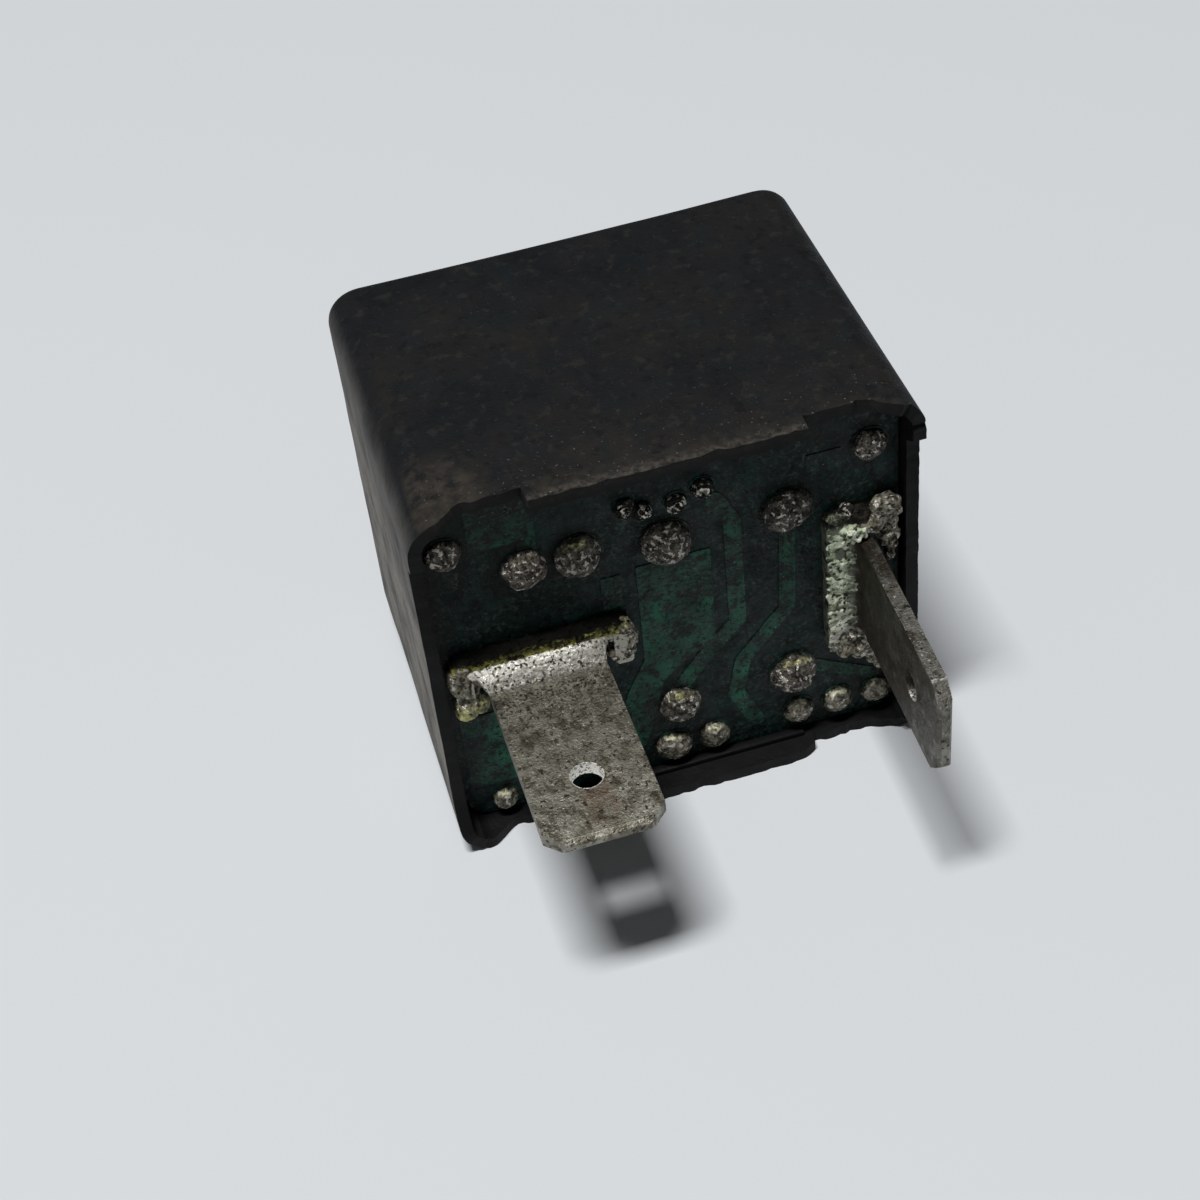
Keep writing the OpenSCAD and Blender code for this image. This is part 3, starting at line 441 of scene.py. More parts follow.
def rim_cut(x, z):
    """How far the rim lies behind the foremost edge, at a point of the outline."""
    across, up = abs(x), abs(z)
    nick = noise.noise(Vector((x * 1.7, 3.1, z * 1.7))) * 0.16
    nick += max(0, noise.noise(Vector((x * 0.8 + 9, 7.7, z * 0.8))) - 0.25) * 0.5
    nick += noise.noise(Vector((x * 5, 2.2, z * 5))) * 0.09
    if up > half_h - corner_r * 0.7 and across < half_w - 0.6:
        if across < tab_half:
            worn_off = ease((across - tab_half + tab_round) / tab_round) ** 2 if z < 0 else 0
            return max(0, nick) + 0.45 * worn_off
        if across < ramp_start:
            return notch_depth + nick
        # The ramp from the notch to the lug is longest at the lower right.
        reach = 0.9 if z > 0 else 1.6 if x > 0 else 0.75
        slope = ease((across - ramp_start) / (half_w - notch_end - 0.6) / reach)
        return notch_depth * (1 - slope) + abs(nick)
    # The lower left lug has worn to a long slope, and the others end in a short step.
    if x < 0 and z < 0:
        side = ease((half_h - lug_drop + 1.9 - up) / 2.2)
    else:
        side = ease((half_h - lug_drop + 0.25 - up) / 0.5)
    ragged = 0.35 * max(0, noise.noise(Vector((x, 1.3, z * 2.3)))) if x > 0 else 0
    return side_cut * side + abs(nick) * 0.7 + ragged * (1 - side)


# Two columns of vertices, 0.06 mm apart, make each side of a tab a clean step.
tab_sides = [side * (tab_half + gap) for side in (-1, 1) for gap in (-0.03, 0.03)]
for v in cover_bm.verts:
    y = v.co.y
    if y < fade and abs(v.co.z) > half_h - 0.01:
        nearest = min(tab_sides, key=lambda x: abs(x - v.co.x))
        if abs(nearest - v.co.x) < cell * 0.75 and (
                abs(v.co.x) <= tab_half or abs(nearest) > tab_half):
            v.co.x = nearest
    if y < fade:
        v.co.y += rim_cut(v.co.x, v.co.z) * (1 - y / fade)
    # Draft narrows the cover towards its closed end, and moulded plastic sinks a little.
    back = y / cover_d
    sink = noise.noise(v.co * 0.14) * 0.06 + noise.noise(v.co * 0.5) * 0.018
    middle = max(0, 1 - (v.co.x / half_w) ** 2) * ease((y - cover_d + 5) / 5)
    v.co.x *= 1 - draft * back / half_w
    if v.co.z > 0:
        v.co.z -= (draft * back + 0.13 * middle) * v.co.z / half_h
    v.co += Vector((-v.co.x / half_w, 0, -max(0, v.co.z) / half_h)) * max(0, sink)
bmesh.ops.translate(cover_bm, verts=cover_bm.verts, vec=(0, 0, half_h))
print("rim to closed end:", round(min(v.co.y for v in cover_bm.verts), 2), "to",
      round(max(v.co.y for v in cover_bm.verts), 2), "mm")

# %% Wall thickness, beads and the ribs that carry the board
bmesh.ops.recalc_face_normals(cover_bm, faces=cover_bm.faces)
bmesh.ops.solidify(cover_bm, geom=cover_bm.faces, thickness=wall)


def bar(bm, low, high, round_by=0.12):
    """A bar with rounded edges between two corners."""
    made = bmesh.ops.create_cube(bm, size=1)["verts"]
    low, high = Vector(low), Vector(high)
    bmesh.ops.scale(bm, verts=made, vec=high - low)
    bmesh.ops.translate(bm, verts=made, vec=(low + high) / 2)
    edges = list({e for v in made for e in v.link_edges})
    bmesh.ops.bevel(bm, geom=edges, offset=round_by, segments=2, affect="EDGES", profile=0.5,
                    material=-1)


bead_front, bead_back, half_bead = 1.15, 1.7, 0.3
for z in (wall, cover_h - wall):
    bar(cover_bm, (-tab_half + 0.4, bead_front, z - half_bead),
        (tab_half - 0.4, bead_back, z + half_bead))
rib_front, rib_height, half_rib = 3.4, 0.65, 0.5
for side in (-1, 1):
    for z in (5.2, cover_h - 5.3):
        inner, root = side * (half_w - wall - rib_height), side * (half_w - wall + 0.2)
        bar(cover_bm, (min(inner, root), rib_front, z - half_rib),
            (max(inner, root), cover_d - wall, z + half_rib), 0.15)
cover = piece_from(cover_bm, "worn_cover")
cover.data.set_sharp_from_angle(angle=math.radians(35))
cover.data.materials.append(pbt)
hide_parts("cover")
print("cover wall", wall, "mm, with", len(cover.data.vertices), "vertices")

# %% [markdown]
# ## Circuit board
# The board is glass epoxy under a green solder mask. On the bare laminate the mask looks
# almost black, and over the copper it is a lighter green, so the tracks are a node of their
# own with their own finish. Soot, dust and flux lie over both, thickest round the joints, and
# the board is darker along its top and left edges. The same patterns are laid over both finishes.


# %% Where the joints are
def islands(bm):
    """The separate shells of a mesh, each as a list of vertices."""
    left, found = set(bm.verts), []
    while left:
        shell, todo = [], [left.pop()]
        while todo:
            v = todo.pop()
            shell.append(v)
            for e in v.link_edges:
                other = e.other_vert(v)
                if other in left:
                    left.remove(other)
                    todo.append(other)
        found.append(shell)
    return found


joint_bm = copy_of("solder_joints")
joints = []
for shell in islands(joint_bm):
    xs, zs = [v.co.x for v in shell], [v.co.z for v in shell]
    joints.append(((min(xs) + max(xs)) / 2, (min(zs) + max(zs)) / 2, (max(xs) - min(xs)) / 2))
joint_bm.free()
joints.sort()
small_joint = 0.8
face_y = span("copper_tracks")[0].y
print(len(joints), "joints, radius", round(min(r for x, z, r in joints), 2), "to",
      round(max(r for x, z, r in joints), 2), "mm")


# %% Dirt that lies on the board
def dirty(material, base):
    """Soot, brown flux stains, a darker top and left edge, fine scratches and pale grains over a
    board finish.
    """
    ring = None
    for x, z, r in joints:
        if r >= small_joint:
            near = within(material, (x, face_y, z), r, 1.0)
            ring = both(ring, near, "ADD") if ring else near
    # The board is darker along its top and left edges, beside the cover's walls.
    edge = both(along(material, "Z", cover_h - 4.0, cover_h - 1.2),
                along(material, "X", 2.2 - half_w, 0.9 - half_w), "ADD")
    haze = broken(patches(material, 0.22, 0.53, 0.6, detail=6), 2.0, 0.4, 0.6)
    return painted(
        base,
        ("#0c1c1a", patches(material, 2.6, 0.40, 0.62), 0.8),
        ("#080f0e", patches(material, 0.8, 0.49, 0.6, detail=6), 0.85),
        ("#0a0a0a", broken(ring, 0.9, 0.3, 0.6), 0.95),
        ("#070808", broken(edge, 1.5, 0.2, 0.5), 0.85),
        ("#221b14", patches(material, 1.2, 0.6, 0.78), 0.6),
        ("#3a423f", patches(material, 0.3, 0.62, 0.66, detail=5, stretch=(0.5, 1, 1)), 0.6),
        ("#3d4d47", haze, 0.6),
        ("#050706", patches(material, 0.28, 0.55, 0.6), 0.85),
        ("#8f8a80", patches(material, 0.15, 0.69, 0.73, detail=3), 0.8))


def coated(material, base, ripple, roughest):
    """Finishes a mask: dirt over its colour, the ripple of dipped lacquer, uneven gloss."""
    bumps = relief(material, 0.3, 0.03, relief(material, ripple, 0.05))
    rough = rough_by(patches(material, 1.1, 0.35, 0.65), 0.3, roughest)
    return wear(material, dirty(material, base), rough, bumps)


# %% Solder mask on laminate and on copper
mask_on_board = finish("solder mask on glass epoxy", "#0d1b18", 0.42, ior=1.5, gloss=0.14)
lower_left = both(along(mask_on_board, "Z", 9, 6), along(mask_on_board, "X", -5, -8))
coated(mask_on_board, painted(
    colour("#0b1e1b"),
    ("#133630", patches(mask_on_board, 3.5, 0.4, 0.7), 1),
    ("#17382f", patches(mask_on_board, 0.4, 0.55, 0.66), 0.6),
    ("#173c3b", lower_left, 0.7)), 1.4, 0.62)

mask_on_copper = finish("solder mask on copper", "#1a4033", 0.4, ior=1.5, gloss=0.16)
faded_pour, faded_corner = (within(mask_on_copper, (x, face_y, z), 0.9, 1.0)
                            for x, z in ((-3.2, 15.0), (8.4, 20.2)))
coated(mask_on_copper, painted(
    colour("#1c4a3a"),
    ("#2a6f54", patches(mask_on_copper, 2.2, 0.4, 0.7), 1),
    ("#0d211d", faded_pour, 0.75), ("#0d211d", faded_corner, 0.75),
    ("#12302a", patches(mask_on_copper, 1.6, 0.5, 0.62, detail=6), 0.6)), 1.2, 0.6)


def dress(node, material):
    """Gives a CAD node its finish."""
    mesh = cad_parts[node].data
    mesh.materials.clear()
    mesh.materials.append(material)


dress("circuit_board", mask_on_board)
dress("copper_tracks", mask_on_copper)
print("board finishes:", len(mask_on_board.node_tree.nodes), "nodes")

# %% [markdown]
# ### Solder
# Tin-lead solder dulls to a brownish grey. Its skin is grainy and pitted, with the bright
# metal showing only where something has rubbed it, and yellow flux clings to the tops. On the
# cleanest joints these caps are pale, flux with a painted highlight.


# %% Dull and bright solder
def solder_finish(name, light, dark, roughness, pitted, flecked=0.95, flux_and_highlight_code="#d2cf8a"):
    """Solder with dark pits, rubbed flecks, and flux where the piece's flux attribute says; on the
    clean solder the flux colour is pale, a painted highlight as well as flux.
    """
    material = finish(name, light, roughness, metallic=0.6)
    rubbed = patches(material, 0.3, 0.555, 0.595, detail=6)
    flux = add(material, "ShaderNodeAttribute", attribute_name="flux").outputs["Fac"]
    base = painted(
        colour(light),
        (dark, patches(material, 0.4, 0.42, 0.6), 1),
        ("#12100e", patches(material, 0.2, 0.54, 0.64), pitted),
        ("#e4e0d4", rubbed, flecked),
        (flux_and_highlight_code, broken(flux, 0.3, 0.42, 0.58), 0.95))
    bumps = relief(material, 0.15, 0.04 + 0.05 * pitted)
    return wear(material, base, rough_by(rubbed, roughness, 0.25), bumps)


solder = solder_finish("dull tin-lead solder", "#6b655c", "#2e2924", 0.5, 0.9)
# The clean solder's pale flux colour on the tops of the lowest row is also a painted highlight.
bright_solder = solder_finish("clean tin-lead solder", "#8c8777", "#39352b", 0.17, 0.3, 0.6,
                              "#f2f0cc")
sooty_solder = solder_finish("sooty tin-lead solder", "#2f2b27", "#131110", 0.45, 0.9)

# %% [markdown]
# ## Solder joints
# A joint starts as a fine icosphere cut off at the board. Squashing it gives the low dome of
# solder that was drawn up a lead, and noise gives it the lumps and the craters that trapped flux
# leaves. An attribute marks where yellow flux still clings to the upper side; on the lowest row
# the same caps carry a painted highlight.


# %% Domes of solder
def lumps(v, size, seed):
    return noise.noise(Vector((v.x / size + seed, v.y / size, v.z / size + seed * 0.7)))


def solder_dome(bm, x, z, r, rise, seed, rough, flux):
    """One joint: a dome on the board's face with lumps, craters and a ragged skirt."""
    made = bmesh.ops.create_icosphere(bm, subdivisions=4, radius=1)["verts"]
    faces = {f for v in made for f in v.link_faces}
    edges = {e for v in made for e in v.link_edges}
    cut = bmesh.ops.bisect_plane(bm, geom=list(made) + list(edges) + list(faces),
                                 plane_co=(0, 0.02, 0), plane_no=(0, 1, 0), clear_outer=True)
    kept = {g for g in cut["geom"] if isinstance(g, bmesh.types.BMVert) and g.is_valid}
    kept |= {g for g in cut["geom_cut"] if isinstance(g, bmesh.types.BMVert)}
    lean = Vector((noise.noise(Vector((seed, 1, 2))), 0, noise.noise(Vector((seed, 5, 2)))))
    for v in kept:
        n = v.co.copy()
        height = max(0, -n.y)
        skirt = 1.03 + 0.14 * noise.noise(Vector((n.x * 1.3, seed * 3.3, n.z * 1.3)))
        skirt += 0.07 * noise.noise(Vector((n.x * 4, seed, n.z * 4)))
        pit = max(0, lumps(n, 0.34, seed) - 0.08) * 0.6 + abs(lumps(n, 0.5, seed + 4)) * 0.3
        grain = lumps(n, 0.11, seed + 8) * 0.10
        body = 1 - (pit - grain) * rough * height
        v[flux_layer] = flux * ease((n.z - 0.6) / 0.25) * ease((height - 0.1) / 0.3)
        v.co = Vector((x + (n.x * skirt + lean.x * 0.4 * height) * r * (1 - 0.04 * height),
                       face_y - height ** 0.8 * rise * body,
                       z + (n.z * skirt + lean.z * 0.4 * height) * r))
    return {f for v in kept for f in v.link_faces}


# %% All the joints
# The lowest row is the cleanest and has most flux, whose pale caps are also a painted highlight.
# The small joints are the sootiest.
domes_bm = bmesh.new()
flux_layer = domes_bm.verts.layers.float.new("flux")
least_r = 0.56
for i, (x, z, r) in enumerate(joints):
    low_row, small = z < 3, r < small_joint
    rough = 0.25 if low_row else 2.2 if small else 1.0
    flux = 1.0 if low_row else 0.7 if z < 6 else 0.6 if abs(x + 4.5) < 0.6 else 0.1
    rise = max(0.6, 0.7 * r) if small else 0.7 * r
    for face in solder_dome(domes_bm, x, z, max(r, least_r), rise, 2.7 * i + 1, rough, flux):
        face.material_index = 1 if low_row else 2 if small else 0
bmesh.ops.holes_fill(domes_bm, edges=[e for e in domes_bm.edges if e.is_boundary])
domes = piece_from(domes_bm, "solder_domes")
for material in (solder, bright_solder, sooty_solder):
    domes.data.materials.append(material)
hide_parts("solder_joints")

# %% [markdown]
# ## Blades
# The terminals are stamped from tinned brass and bent once. A copy of each CAD solid has its
# flat faces joined and all its edges bevelled, as a press and years of use leave them. The
# tin is speckled with dark spots and brown below the locking hole, and the bend of the left
# blade has a painted highlight.

# %% Where the blades are
left_low, left_high = span("terminal_left")
right_low, right_high = span("terminal_right")
foot_rise, hole_from_tip, hole_r = 1.7, 3.9, 0.83
left_x = (left_low.x + left_high.x) / 2
left_z = left_high.z - foot_rise
right_z = (right_low.z + right_high.z) / 2
right_x = right_low.x + foot_rise
left_hole = left_low.y + hole_from_tip
right_hole = right_low.y + hole_from_tip
print("left blade on x", round(left_x, 2), "and z", round(left_z, 2),
      "mm; right blade on x", round(right_x, 2), "and z", round(right_z, 2), "mm")


# %% Patterns of worn tin
def tinned(material, light, dark):
    """Hot-dipped tin over brass: dull tones, dark specks and a few bright ones."""
    return painted(
        colour(light),
        (dark, patches(material, 0.9, 0.4, 0.65), 1),
        ("#4f483b", patches(material, 0.5, 0.53, 0.6, detail=8, stretch=(1, 0.6, 1)), 0.7),
        ("#413c32", patches(material, 1.3, 0.57, 0.62, detail=8), 0.75),
        ("#1d1b17", patches(material, 0.25, 0.585, 0.63), 0.9),
        ("#e2ded2", patches(material, 0.2, 0.635, 0.68), 0.8))


def tin_skin(material, shine):
    """The roughness and relief of rolled and dipped strip, smoother where shine is 1."""
    bumps = relief(material, 0.14, 0.02,
                   relief(material, 0.5, 0.012, stretch=(1, 0.08, 1)))
    dull = rough_by(patches(material, 0.6, 0.3, 0.7), 0.38, 0.6)
    rough = add(material, "ShaderNodeMix", {0: shine, 2: dull, 3: 0.26}, data_type="FLOAT")
    return rough.outputs[0], bumps


# %% [markdown]
# The left blade has a painted highlight in its bend, where its tin is also smoother, and a
# painted glint on the wall of its hole. Black soot covers the top of its foot, yellow-green flux
# its front, and rust has run from the hole.

# %% Tin of the left blade
left_tin = finish("hot-dipped tin, left blade", "#9f9c8f", 0.42, metallic=0.85)
towards_root = along(left_tin, "Y", rim_y + left_hole - 1.5, rim_y + left_hole + 1.5)
near_bend = along(left_tin, "Y", rim_y - 4.5, rim_y - 0.5)
rust = within(left_tin, (left_x + 0.2, left_hole - 1.9, left_z), 0.5, 0.9, (1, 0.55, 1))
# The bend is painted lighter as a highlight, and its tin is smoother there.
bend = both(along(left_tin, "Y", rim_y - 0.5, rim_y + 0.5),
            along(left_tin, "Z", left_z + 1.05, left_z + 0.8))
foot_front = along(left_tin, "Z", left_z + 0.8, left_z + 1.15)
foot_back = along(left_tin, "Z", left_z + 1.1, left_z + 1.6)
foot_top = along(left_tin, "Z", left_z + 1.52, left_z + 1.62)
# A painted glint on the wall of the locking hole.
hole_glint = within(left_tin, (left_x, left_hole, 0), hole_r + 0.03, 0.02, (1, 1, 0))
left_base = painted(
    tinned(left_tin, "#9f9c8f", "#6b675a"),
    ("#4f4b40", broken(towards_root, 1.2, 0.3, 0.6), 0.45),
    ("#161410", broken(near_bend, 0.17, 0.53, 0.57), 0.9),
    ("#5f4430", broken(rust, 0.6, 0.34, 0.6), 0.55),
    # Painted highlight in the bend.
    ("#a5a296", bend, 0.85),
    ("#191611", broken(bend, 0.2, 0.55, 0.6), 0.9),
    ("#a9a548", broken(foot_front, 0.35, 0.4, 0.55), 0.9),
    ("#11100c", broken(foot_back, 0.4, 0.3, 0.48), 0.97),
    ("#11100c", foot_top, 0.97),
    ("#f2efe6", broken(hole_glint, 0.14, 0.57, 0.54), 1))
wear(left_tin, left_base, *tin_skin(left_tin, bend))

# %% [markdown]
# The right blade's foot has corroded: a whitish-green crust with dark pits, greyer towards its
# lower end. The blade is darker at its root and on its inner face. A painted highlight lies at
# the corner where its point begins, painted shade in its hole, and a painted glint in the half
# of its hole that is nearest the tip.

# %% Tin of the right blade
right_tin = finish("hot-dipped tin, right blade", "#8d8b84", 0.40, metallic=0.85)
inner_face = facing(right_tin, "X", -0.5, -0.85)
root = along(right_tin, "Y", rim_y - 4.2, rim_y - 0.4)
right_foot = both(along(right_tin, "Y", rim_y + 0.2, rim_y + 0.7),
                  along(right_tin, "X", right_x - 0.2, right_x - 0.6))
foot_end = both(along(right_tin, "Z", right_z + 4.1, right_z + 4.35),
                along(right_tin, "Y", rim_y + 0.3, rim_y + 0.8))
half_blade, point_length = 3.15, 1.05
# A painted highlight on the edge where the point begins.
corner_highlight = within(right_tin, (0, right_low.y + point_length, right_z + half_blade), 0.05,
                       0.07, (0, 1, 1))
# Painted shade round the wall of the hole, and over it a painted glint in the half nearest the
# tip.
hole_rim = within(right_tin, (0, right_hole, right_z), hole_r + 0.01, 0.02, (0, 1, 1))
glint = both(hole_rim, along(right_tin, "Y", rim_y + right_hole + 0.4, rim_y + right_hole))
right_base = painted(
    tinned(right_tin, "#8d8b84", "#68665e"),
    ("#464139", broken(inner_face, 1.2, 0.3, 0.5), 0.75),
    ("#28221a", broken(root, 0.8, 0.2, 0.5, 7), 0.92),
    ("#8b9180", right_foot, 0.8),
    ("#23261d", broken(right_foot, 0.4, 0.5, 0.58), 0.9),
    ("#14130f", foot_end, 0.95),
    ("#4a4238", broken(foot_end, 0.35, 0.48, 0.6), 0.8),
    ("#f4f2ea", broken(corner_highlight, 0.3, 0.62, 0.45), 0.9),
    ("#2a251d", hole_rim, 0.8),
    ("#fbf9f2", broken(glint, 0.2, 0.6, 0.45), 1))
wear(right_tin, right_base, *tin_skin(right_tin, 0.0))


# %% Bevelled blades
def worn_blade(node, name, tin):
    """A terminal with bevelled edges in the place of its CAD node."""
    bm = copy_of(node)
    bmesh.ops.dissolve_limit(bm, angle_limit=math.radians(1), verts=bm.verts, edges=bm.edges)
    sharp = [e for e in bm.edges if e.is_manifold and e.calc_face_angle(0) > math.radians(35)]
    bmesh.ops.bevel(bm, geom=sharp, offset=0.09, segments=3, affect="EDGES", profile=0.5,
                    material=-1, clamp_overlap=True)
    piece = piece_from(bm, name, smooth=False)
    piece.data.materials.append(tin)
    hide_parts(node)
    return piece


left_blade = worn_blade("terminal_left", "left_blade", left_tin)
right_blade = worn_blade("terminal_right", "right_blade", right_tin)
print("blades:", len(left_blade.data.polygons), "and", len(right_blade.data.polygons), "faces")

# %% [markdown]
# The bend of the left blade carries a fillet of solder, painted near white as a highlight. One
# grid becomes the fillet: its long side runs along the bend, and its short side follows a curve
# from the foot down to the blade, which sinks back against the tin at both ends. Solidify then
# gives it its thickness.

# %% Solder in the bend of the left blade
bead_left, bead_right = -4.1, 3.45
curve_out, curve_up = (0.75, 1.20, 1.40, 1.85), (1.14, 1.04, 0.20, -0.01)


def bend_point(x, t):
    """A point of the solder that fills the bend, from the foot at 0 to the blade at 1."""
    pulls = (1 - t) ** 3, 3 * t * (1 - t) ** 2, 3 * t * t * (1 - t), t ** 3
    out = sum(pull * place_out for pull, place_out in zip(pulls, curve_out))
    up = sum(pull * place_up for pull, place_up in zip(pulls, curve_up))
    past = max(ease((bead_left + 1.0 - x) / 0.6), ease((x - bead_right + 0.4) / 0.35))
    out += (0.8 + 0.9 * t * (1 - t) - out) * past
    up += (1.14 - 0.75 * t - up) * past
    end = ease((bead_right - x) / 0.25) * ease((x - bead_left) / 0.4)
    rise = 0.06 * noise.noise(Vector((x * 1.1, t * 2, 4))) - 0.10 * (1 - end)
    rise += 0.03 * noise.noise(Vector((x * 4, t * 5, 1)))
    rise -= 0.16 * max(0, noise.noise(Vector((x * 6, t * 7, 8))) - 0.12)
    rise -= 0.12 * (1 - ease(t / 0.12)) + 0.12 * ease((t - 0.86) / 0.14)
    return Vector((left_x + x, face_y - out - 0.8 * rise, left_z + up + 0.6 * rise))


bend_bm = bmesh.new()
bmesh.ops.create_grid(bend_bm, x_segments=150, y_segments=26, size=0.5)
for v in bend_bm.verts:
    v.co = bend_point(bead_left + (v.co.x + 0.5) * (bead_right - bead_left), 0.5 - v.co.y)
bmesh.ops.recalc_face_normals(bend_bm, faces=bend_bm.faces)
bmesh.ops.solidify(bend_bm, geom=bend_bm.faces, thickness=0.1)
bend_solder = piece_from(bend_bm, "left_bend_solder")

# %% Finish of the solder in the bend, with its painted highlight
highlit_solder = finish("tin-lead solder with a painted highlight", "#d9d5c8", 0.36, metallic=0.3)
# The painted highlight dims towards the tin at the bottom and towards the right.
tin_and_highlight_fade = both(broken(along(highlit_solder, "Z", left_z + 0.75, left_z + 0.2), 0.5, 0.3, 0.5),
              broken(along(highlit_solder, "X", left_x + 0.6, left_x + 3.0), 0.6, 0.35, 0.55), "ADD")
solder_and_highlight_base = painted(
    colour("#f0ece0"),
    ("#c4c0b4", patches(highlit_solder, 0.8, 0.42, 0.62), 1),
    ("#fffdf4", patches(highlit_solder, 0.3, 0.5, 0.6), 0.9),
    ("#8d8a7f", tin_and_highlight_fade, 0.9),
    ("#191611", patches(highlit_solder, 0.2, 0.55, 0.59, detail=6), 0.95))
wear(highlit_solder, solder_and_highlight_base, rough_by(patches(highlit_solder, 0.4, 0.4, 0.6), 0.2, 0.42),
     relief(highlit_solder, 0.14, 0.04))
bend_solder.data.materials.append(highlit_solder)

# %% [markdown]
# ## Solder round the ears
# The ears of each terminal stand in slots and are drowned in hand-laid solder, which froze in
# lumps. Overlapping balls are welded into one skin by a voxel Remesh, and noise roughens it.


# %% Lumpy solder
def lumpy_mass(balls, voxel, rough, seed):
    """Welds balls, given as (x, depth in front of the board, z, radius), into one mass."""
    bm = bmesh.new()
    for x, out, z, r in balls:
        bmesh.ops.create_icosphere(bm, subdivisions=2 if r > 0.3 else 1, radius=r,
                                   matrix=Matrix.Translation((x, face_y - out, z)))
    mesh = bpy.data.meshes.new("balls")
    bmesh.ops.scale(bm, verts=bm.verts, vec=(MM, MM, MM))
    bm.to_mesh(mesh)
    bm.free()
    rough_piece = linked("balls", mesh)
    remesh = rough_piece.modifiers.new("weld", "REMESH")
    remesh.mode = "VOXEL"
    remesh.voxel_size = voxel * MM
    welded = rough_piece.evaluated_get(bpy.context.evaluated_depsgraph_get())
    bm = bmesh.new()
    bm.from_mesh(welded.to_mesh())
    bpy.data.objects.remove(rough_piece)
    bmesh.ops.scale(bm, verts=bm.verts, vec=(1 / MM, 1 / MM, 1 / MM))
    for _ in range(2):
        bmesh.ops.smooth_vert(bm, verts=bm.verts, factor=0.5, use_axis_x=True, use_axis_y=True,
                              use_axis_z=True)
    bm.normal_update()
    for v in bm.verts:
        shove = noise.noise(v.co * 1.7 + Vector((seed, 0, 0))) * 0.9
        shove -= max(0, noise.noise(v.co * 3.3 + Vector((0, seed, 0))) - 0.1) * 1.3
        shove += noise.noise(v.co * 8 + Vector((0, 0, seed))) * 0.25
        v.co += v.normal * shove * rough
    # The mass is cut off at the board, so that it sits on the board's face.
    bmesh.ops.bisect_plane(bm, geom=list(bm.verts) + list(bm.edges) + list(bm.faces),
                           plane_co=(0, face_y, 0), plane_no=(0, 1, 0), clear_outer=True)
    bmesh.ops.holes_fill(bm, edges=[e for e in bm.edges if e.is_boundary])
    return bm


def lay_flux(bm, where):
    """Marks where flux lies, so that the finish can show it."""
    layer = bm.verts.layers.float.new("flux")
    for v in bm.verts:
        v[layer] = where(v.co)
    return bm


# %% Solder of the left terminal
# Two rows of balls run down beside the left ear, and a hook of them goes round the right ear.
left_balls = []
for i in range(11):
    t = i / 10
    z = left_z - 1.9 + 3.1 * t
    left_balls.append((left_x - 4.35 + 0.12 * math.sin(7 * t), 0.45, z,
                       0.62 + 0.08 * math.sin(11 * t)))
    left_balls.append((left_x - 3.6 + 0.1 * math.cos(9 * t), 0.3, z - 0.2 * t,
                       0.42 + 0.1 * math.cos(8 * t)))
for x, out, z, r in ((4.45, 0.5, 1.3, 0.5), (4.6, 0.5, 0.95, 0.45), (4.75, 0.5, 0.5, 0.4),
                     (4.75, 0.5, 0.1, 0.4), (4.65, 0.5, -0.4, 0.42), (4.35, 0.5, -0.8, 0.42),
                     (3.95, 0.5, -0.85, 0.36), (3.7, 0.45, -0.5, 0.32), (3.75, 0.5, 0.6, 0.3)):
    left_balls.append((left_x + x, out, left_z + z, r))
left_mass = lumpy_mass(left_balls, 0.09, 0.16, 3.0)
lay_flux(left_mass, lambda co: max(ease((left_z - 0.9 - co.z) / 0.7) * (co.x < left_x),
                                   0.5 * ease((co.z - left_z - 1.2) / 0.4)))
left_solder = piece_from(left_mass, "left_ear_solder")

# %% Solder of the right terminal
# One heap of balls drowns the upper ear and tapers off downwards, and one drowns the lower ear.
right_balls = []
for x, out, z, r in ((-0.5, 0.35, 4.85, 0.5), (-0.15, 0.3, 4.75, 0.4),
                     (1.25, 0.5, 4.95, 0.55), (1.85, 0.5, 4.9, 0.6), (2.05, 0.5, 4.4, 0.5),
                     (1.2, 0.5, 4.2, 0.6), (1.8, 0.5, 3.9, 0.55), (0.8, 0.5, 3.9, 0.5),
                     (1.25, 0.5, 3.5, 0.5), (1.9, 0.45, 3.3, 0.46), (1.5, 0.5, 2.9, 0.48),
                     (2.0, 0.45, 2.7, 0.42), (1.7, 0.45, 2.2, 0.44), (2.0, 0.4, 1.7, 0.38),
                     (1.9, 0.4, 1.2, 0.36),
                     (-1.1, 0.5, -4.4, 0.42), (-0.7, 0.5, -4.9, 0.6), (0.0, 0.5, -5.2, 0.62),
                     (0.5, 0.5, -4.6, 0.7), (0.9, 0.5, -5.6, 0.6), (1.0, 0.45, -6.3, 0.5),
                     (1.3, 0.45, -6.8, 0.42), (1.6, 0.5, -4.6, 0.62), (2.0, 0.5, -5.2, 0.5),
                     (-0.1, 0.75, 3.6, 0.42), (0.3, 0.75, 3.7, 0.42), (0.75, 0.6, 3.7, 0.45),
                     (0.0, 0.7, -3.6, 0.45), (0.4, 0.7, -3.8, 0.45), (0.9, 0.6, -3.9, 0.5),
                     (-0.6, 0.6, -4.1, 0.4)):
    right_balls.append((right_x + x, out, right_z + z, r))
right_mass = lumpy_mass(right_balls, 0.09, 0.2, 8.0)
lay_flux(right_mass, lambda co: 0.0)
right_solder = piece_from(right_mass, "right_ear_solder")

# %% Finish of the ear solder
crusted = solder_finish("oxidised tin-lead solder", "#938e7c", "#3a362b", 0.5, 0.95)
for piece, node in ((left_solder, "terminal_left_solder"),
                    (right_solder, "terminal_right_solder")):
    piece.data.materials.append(crusted)
    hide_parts(node)
right_solder.data.materials.append(sooty_solder)
for face in right_solder.data.polygons:
    if face.center.x < (right_x + 0.5) * MM and face.center.z > (right_z + 4.2) * MM:
        face.material_index = 1

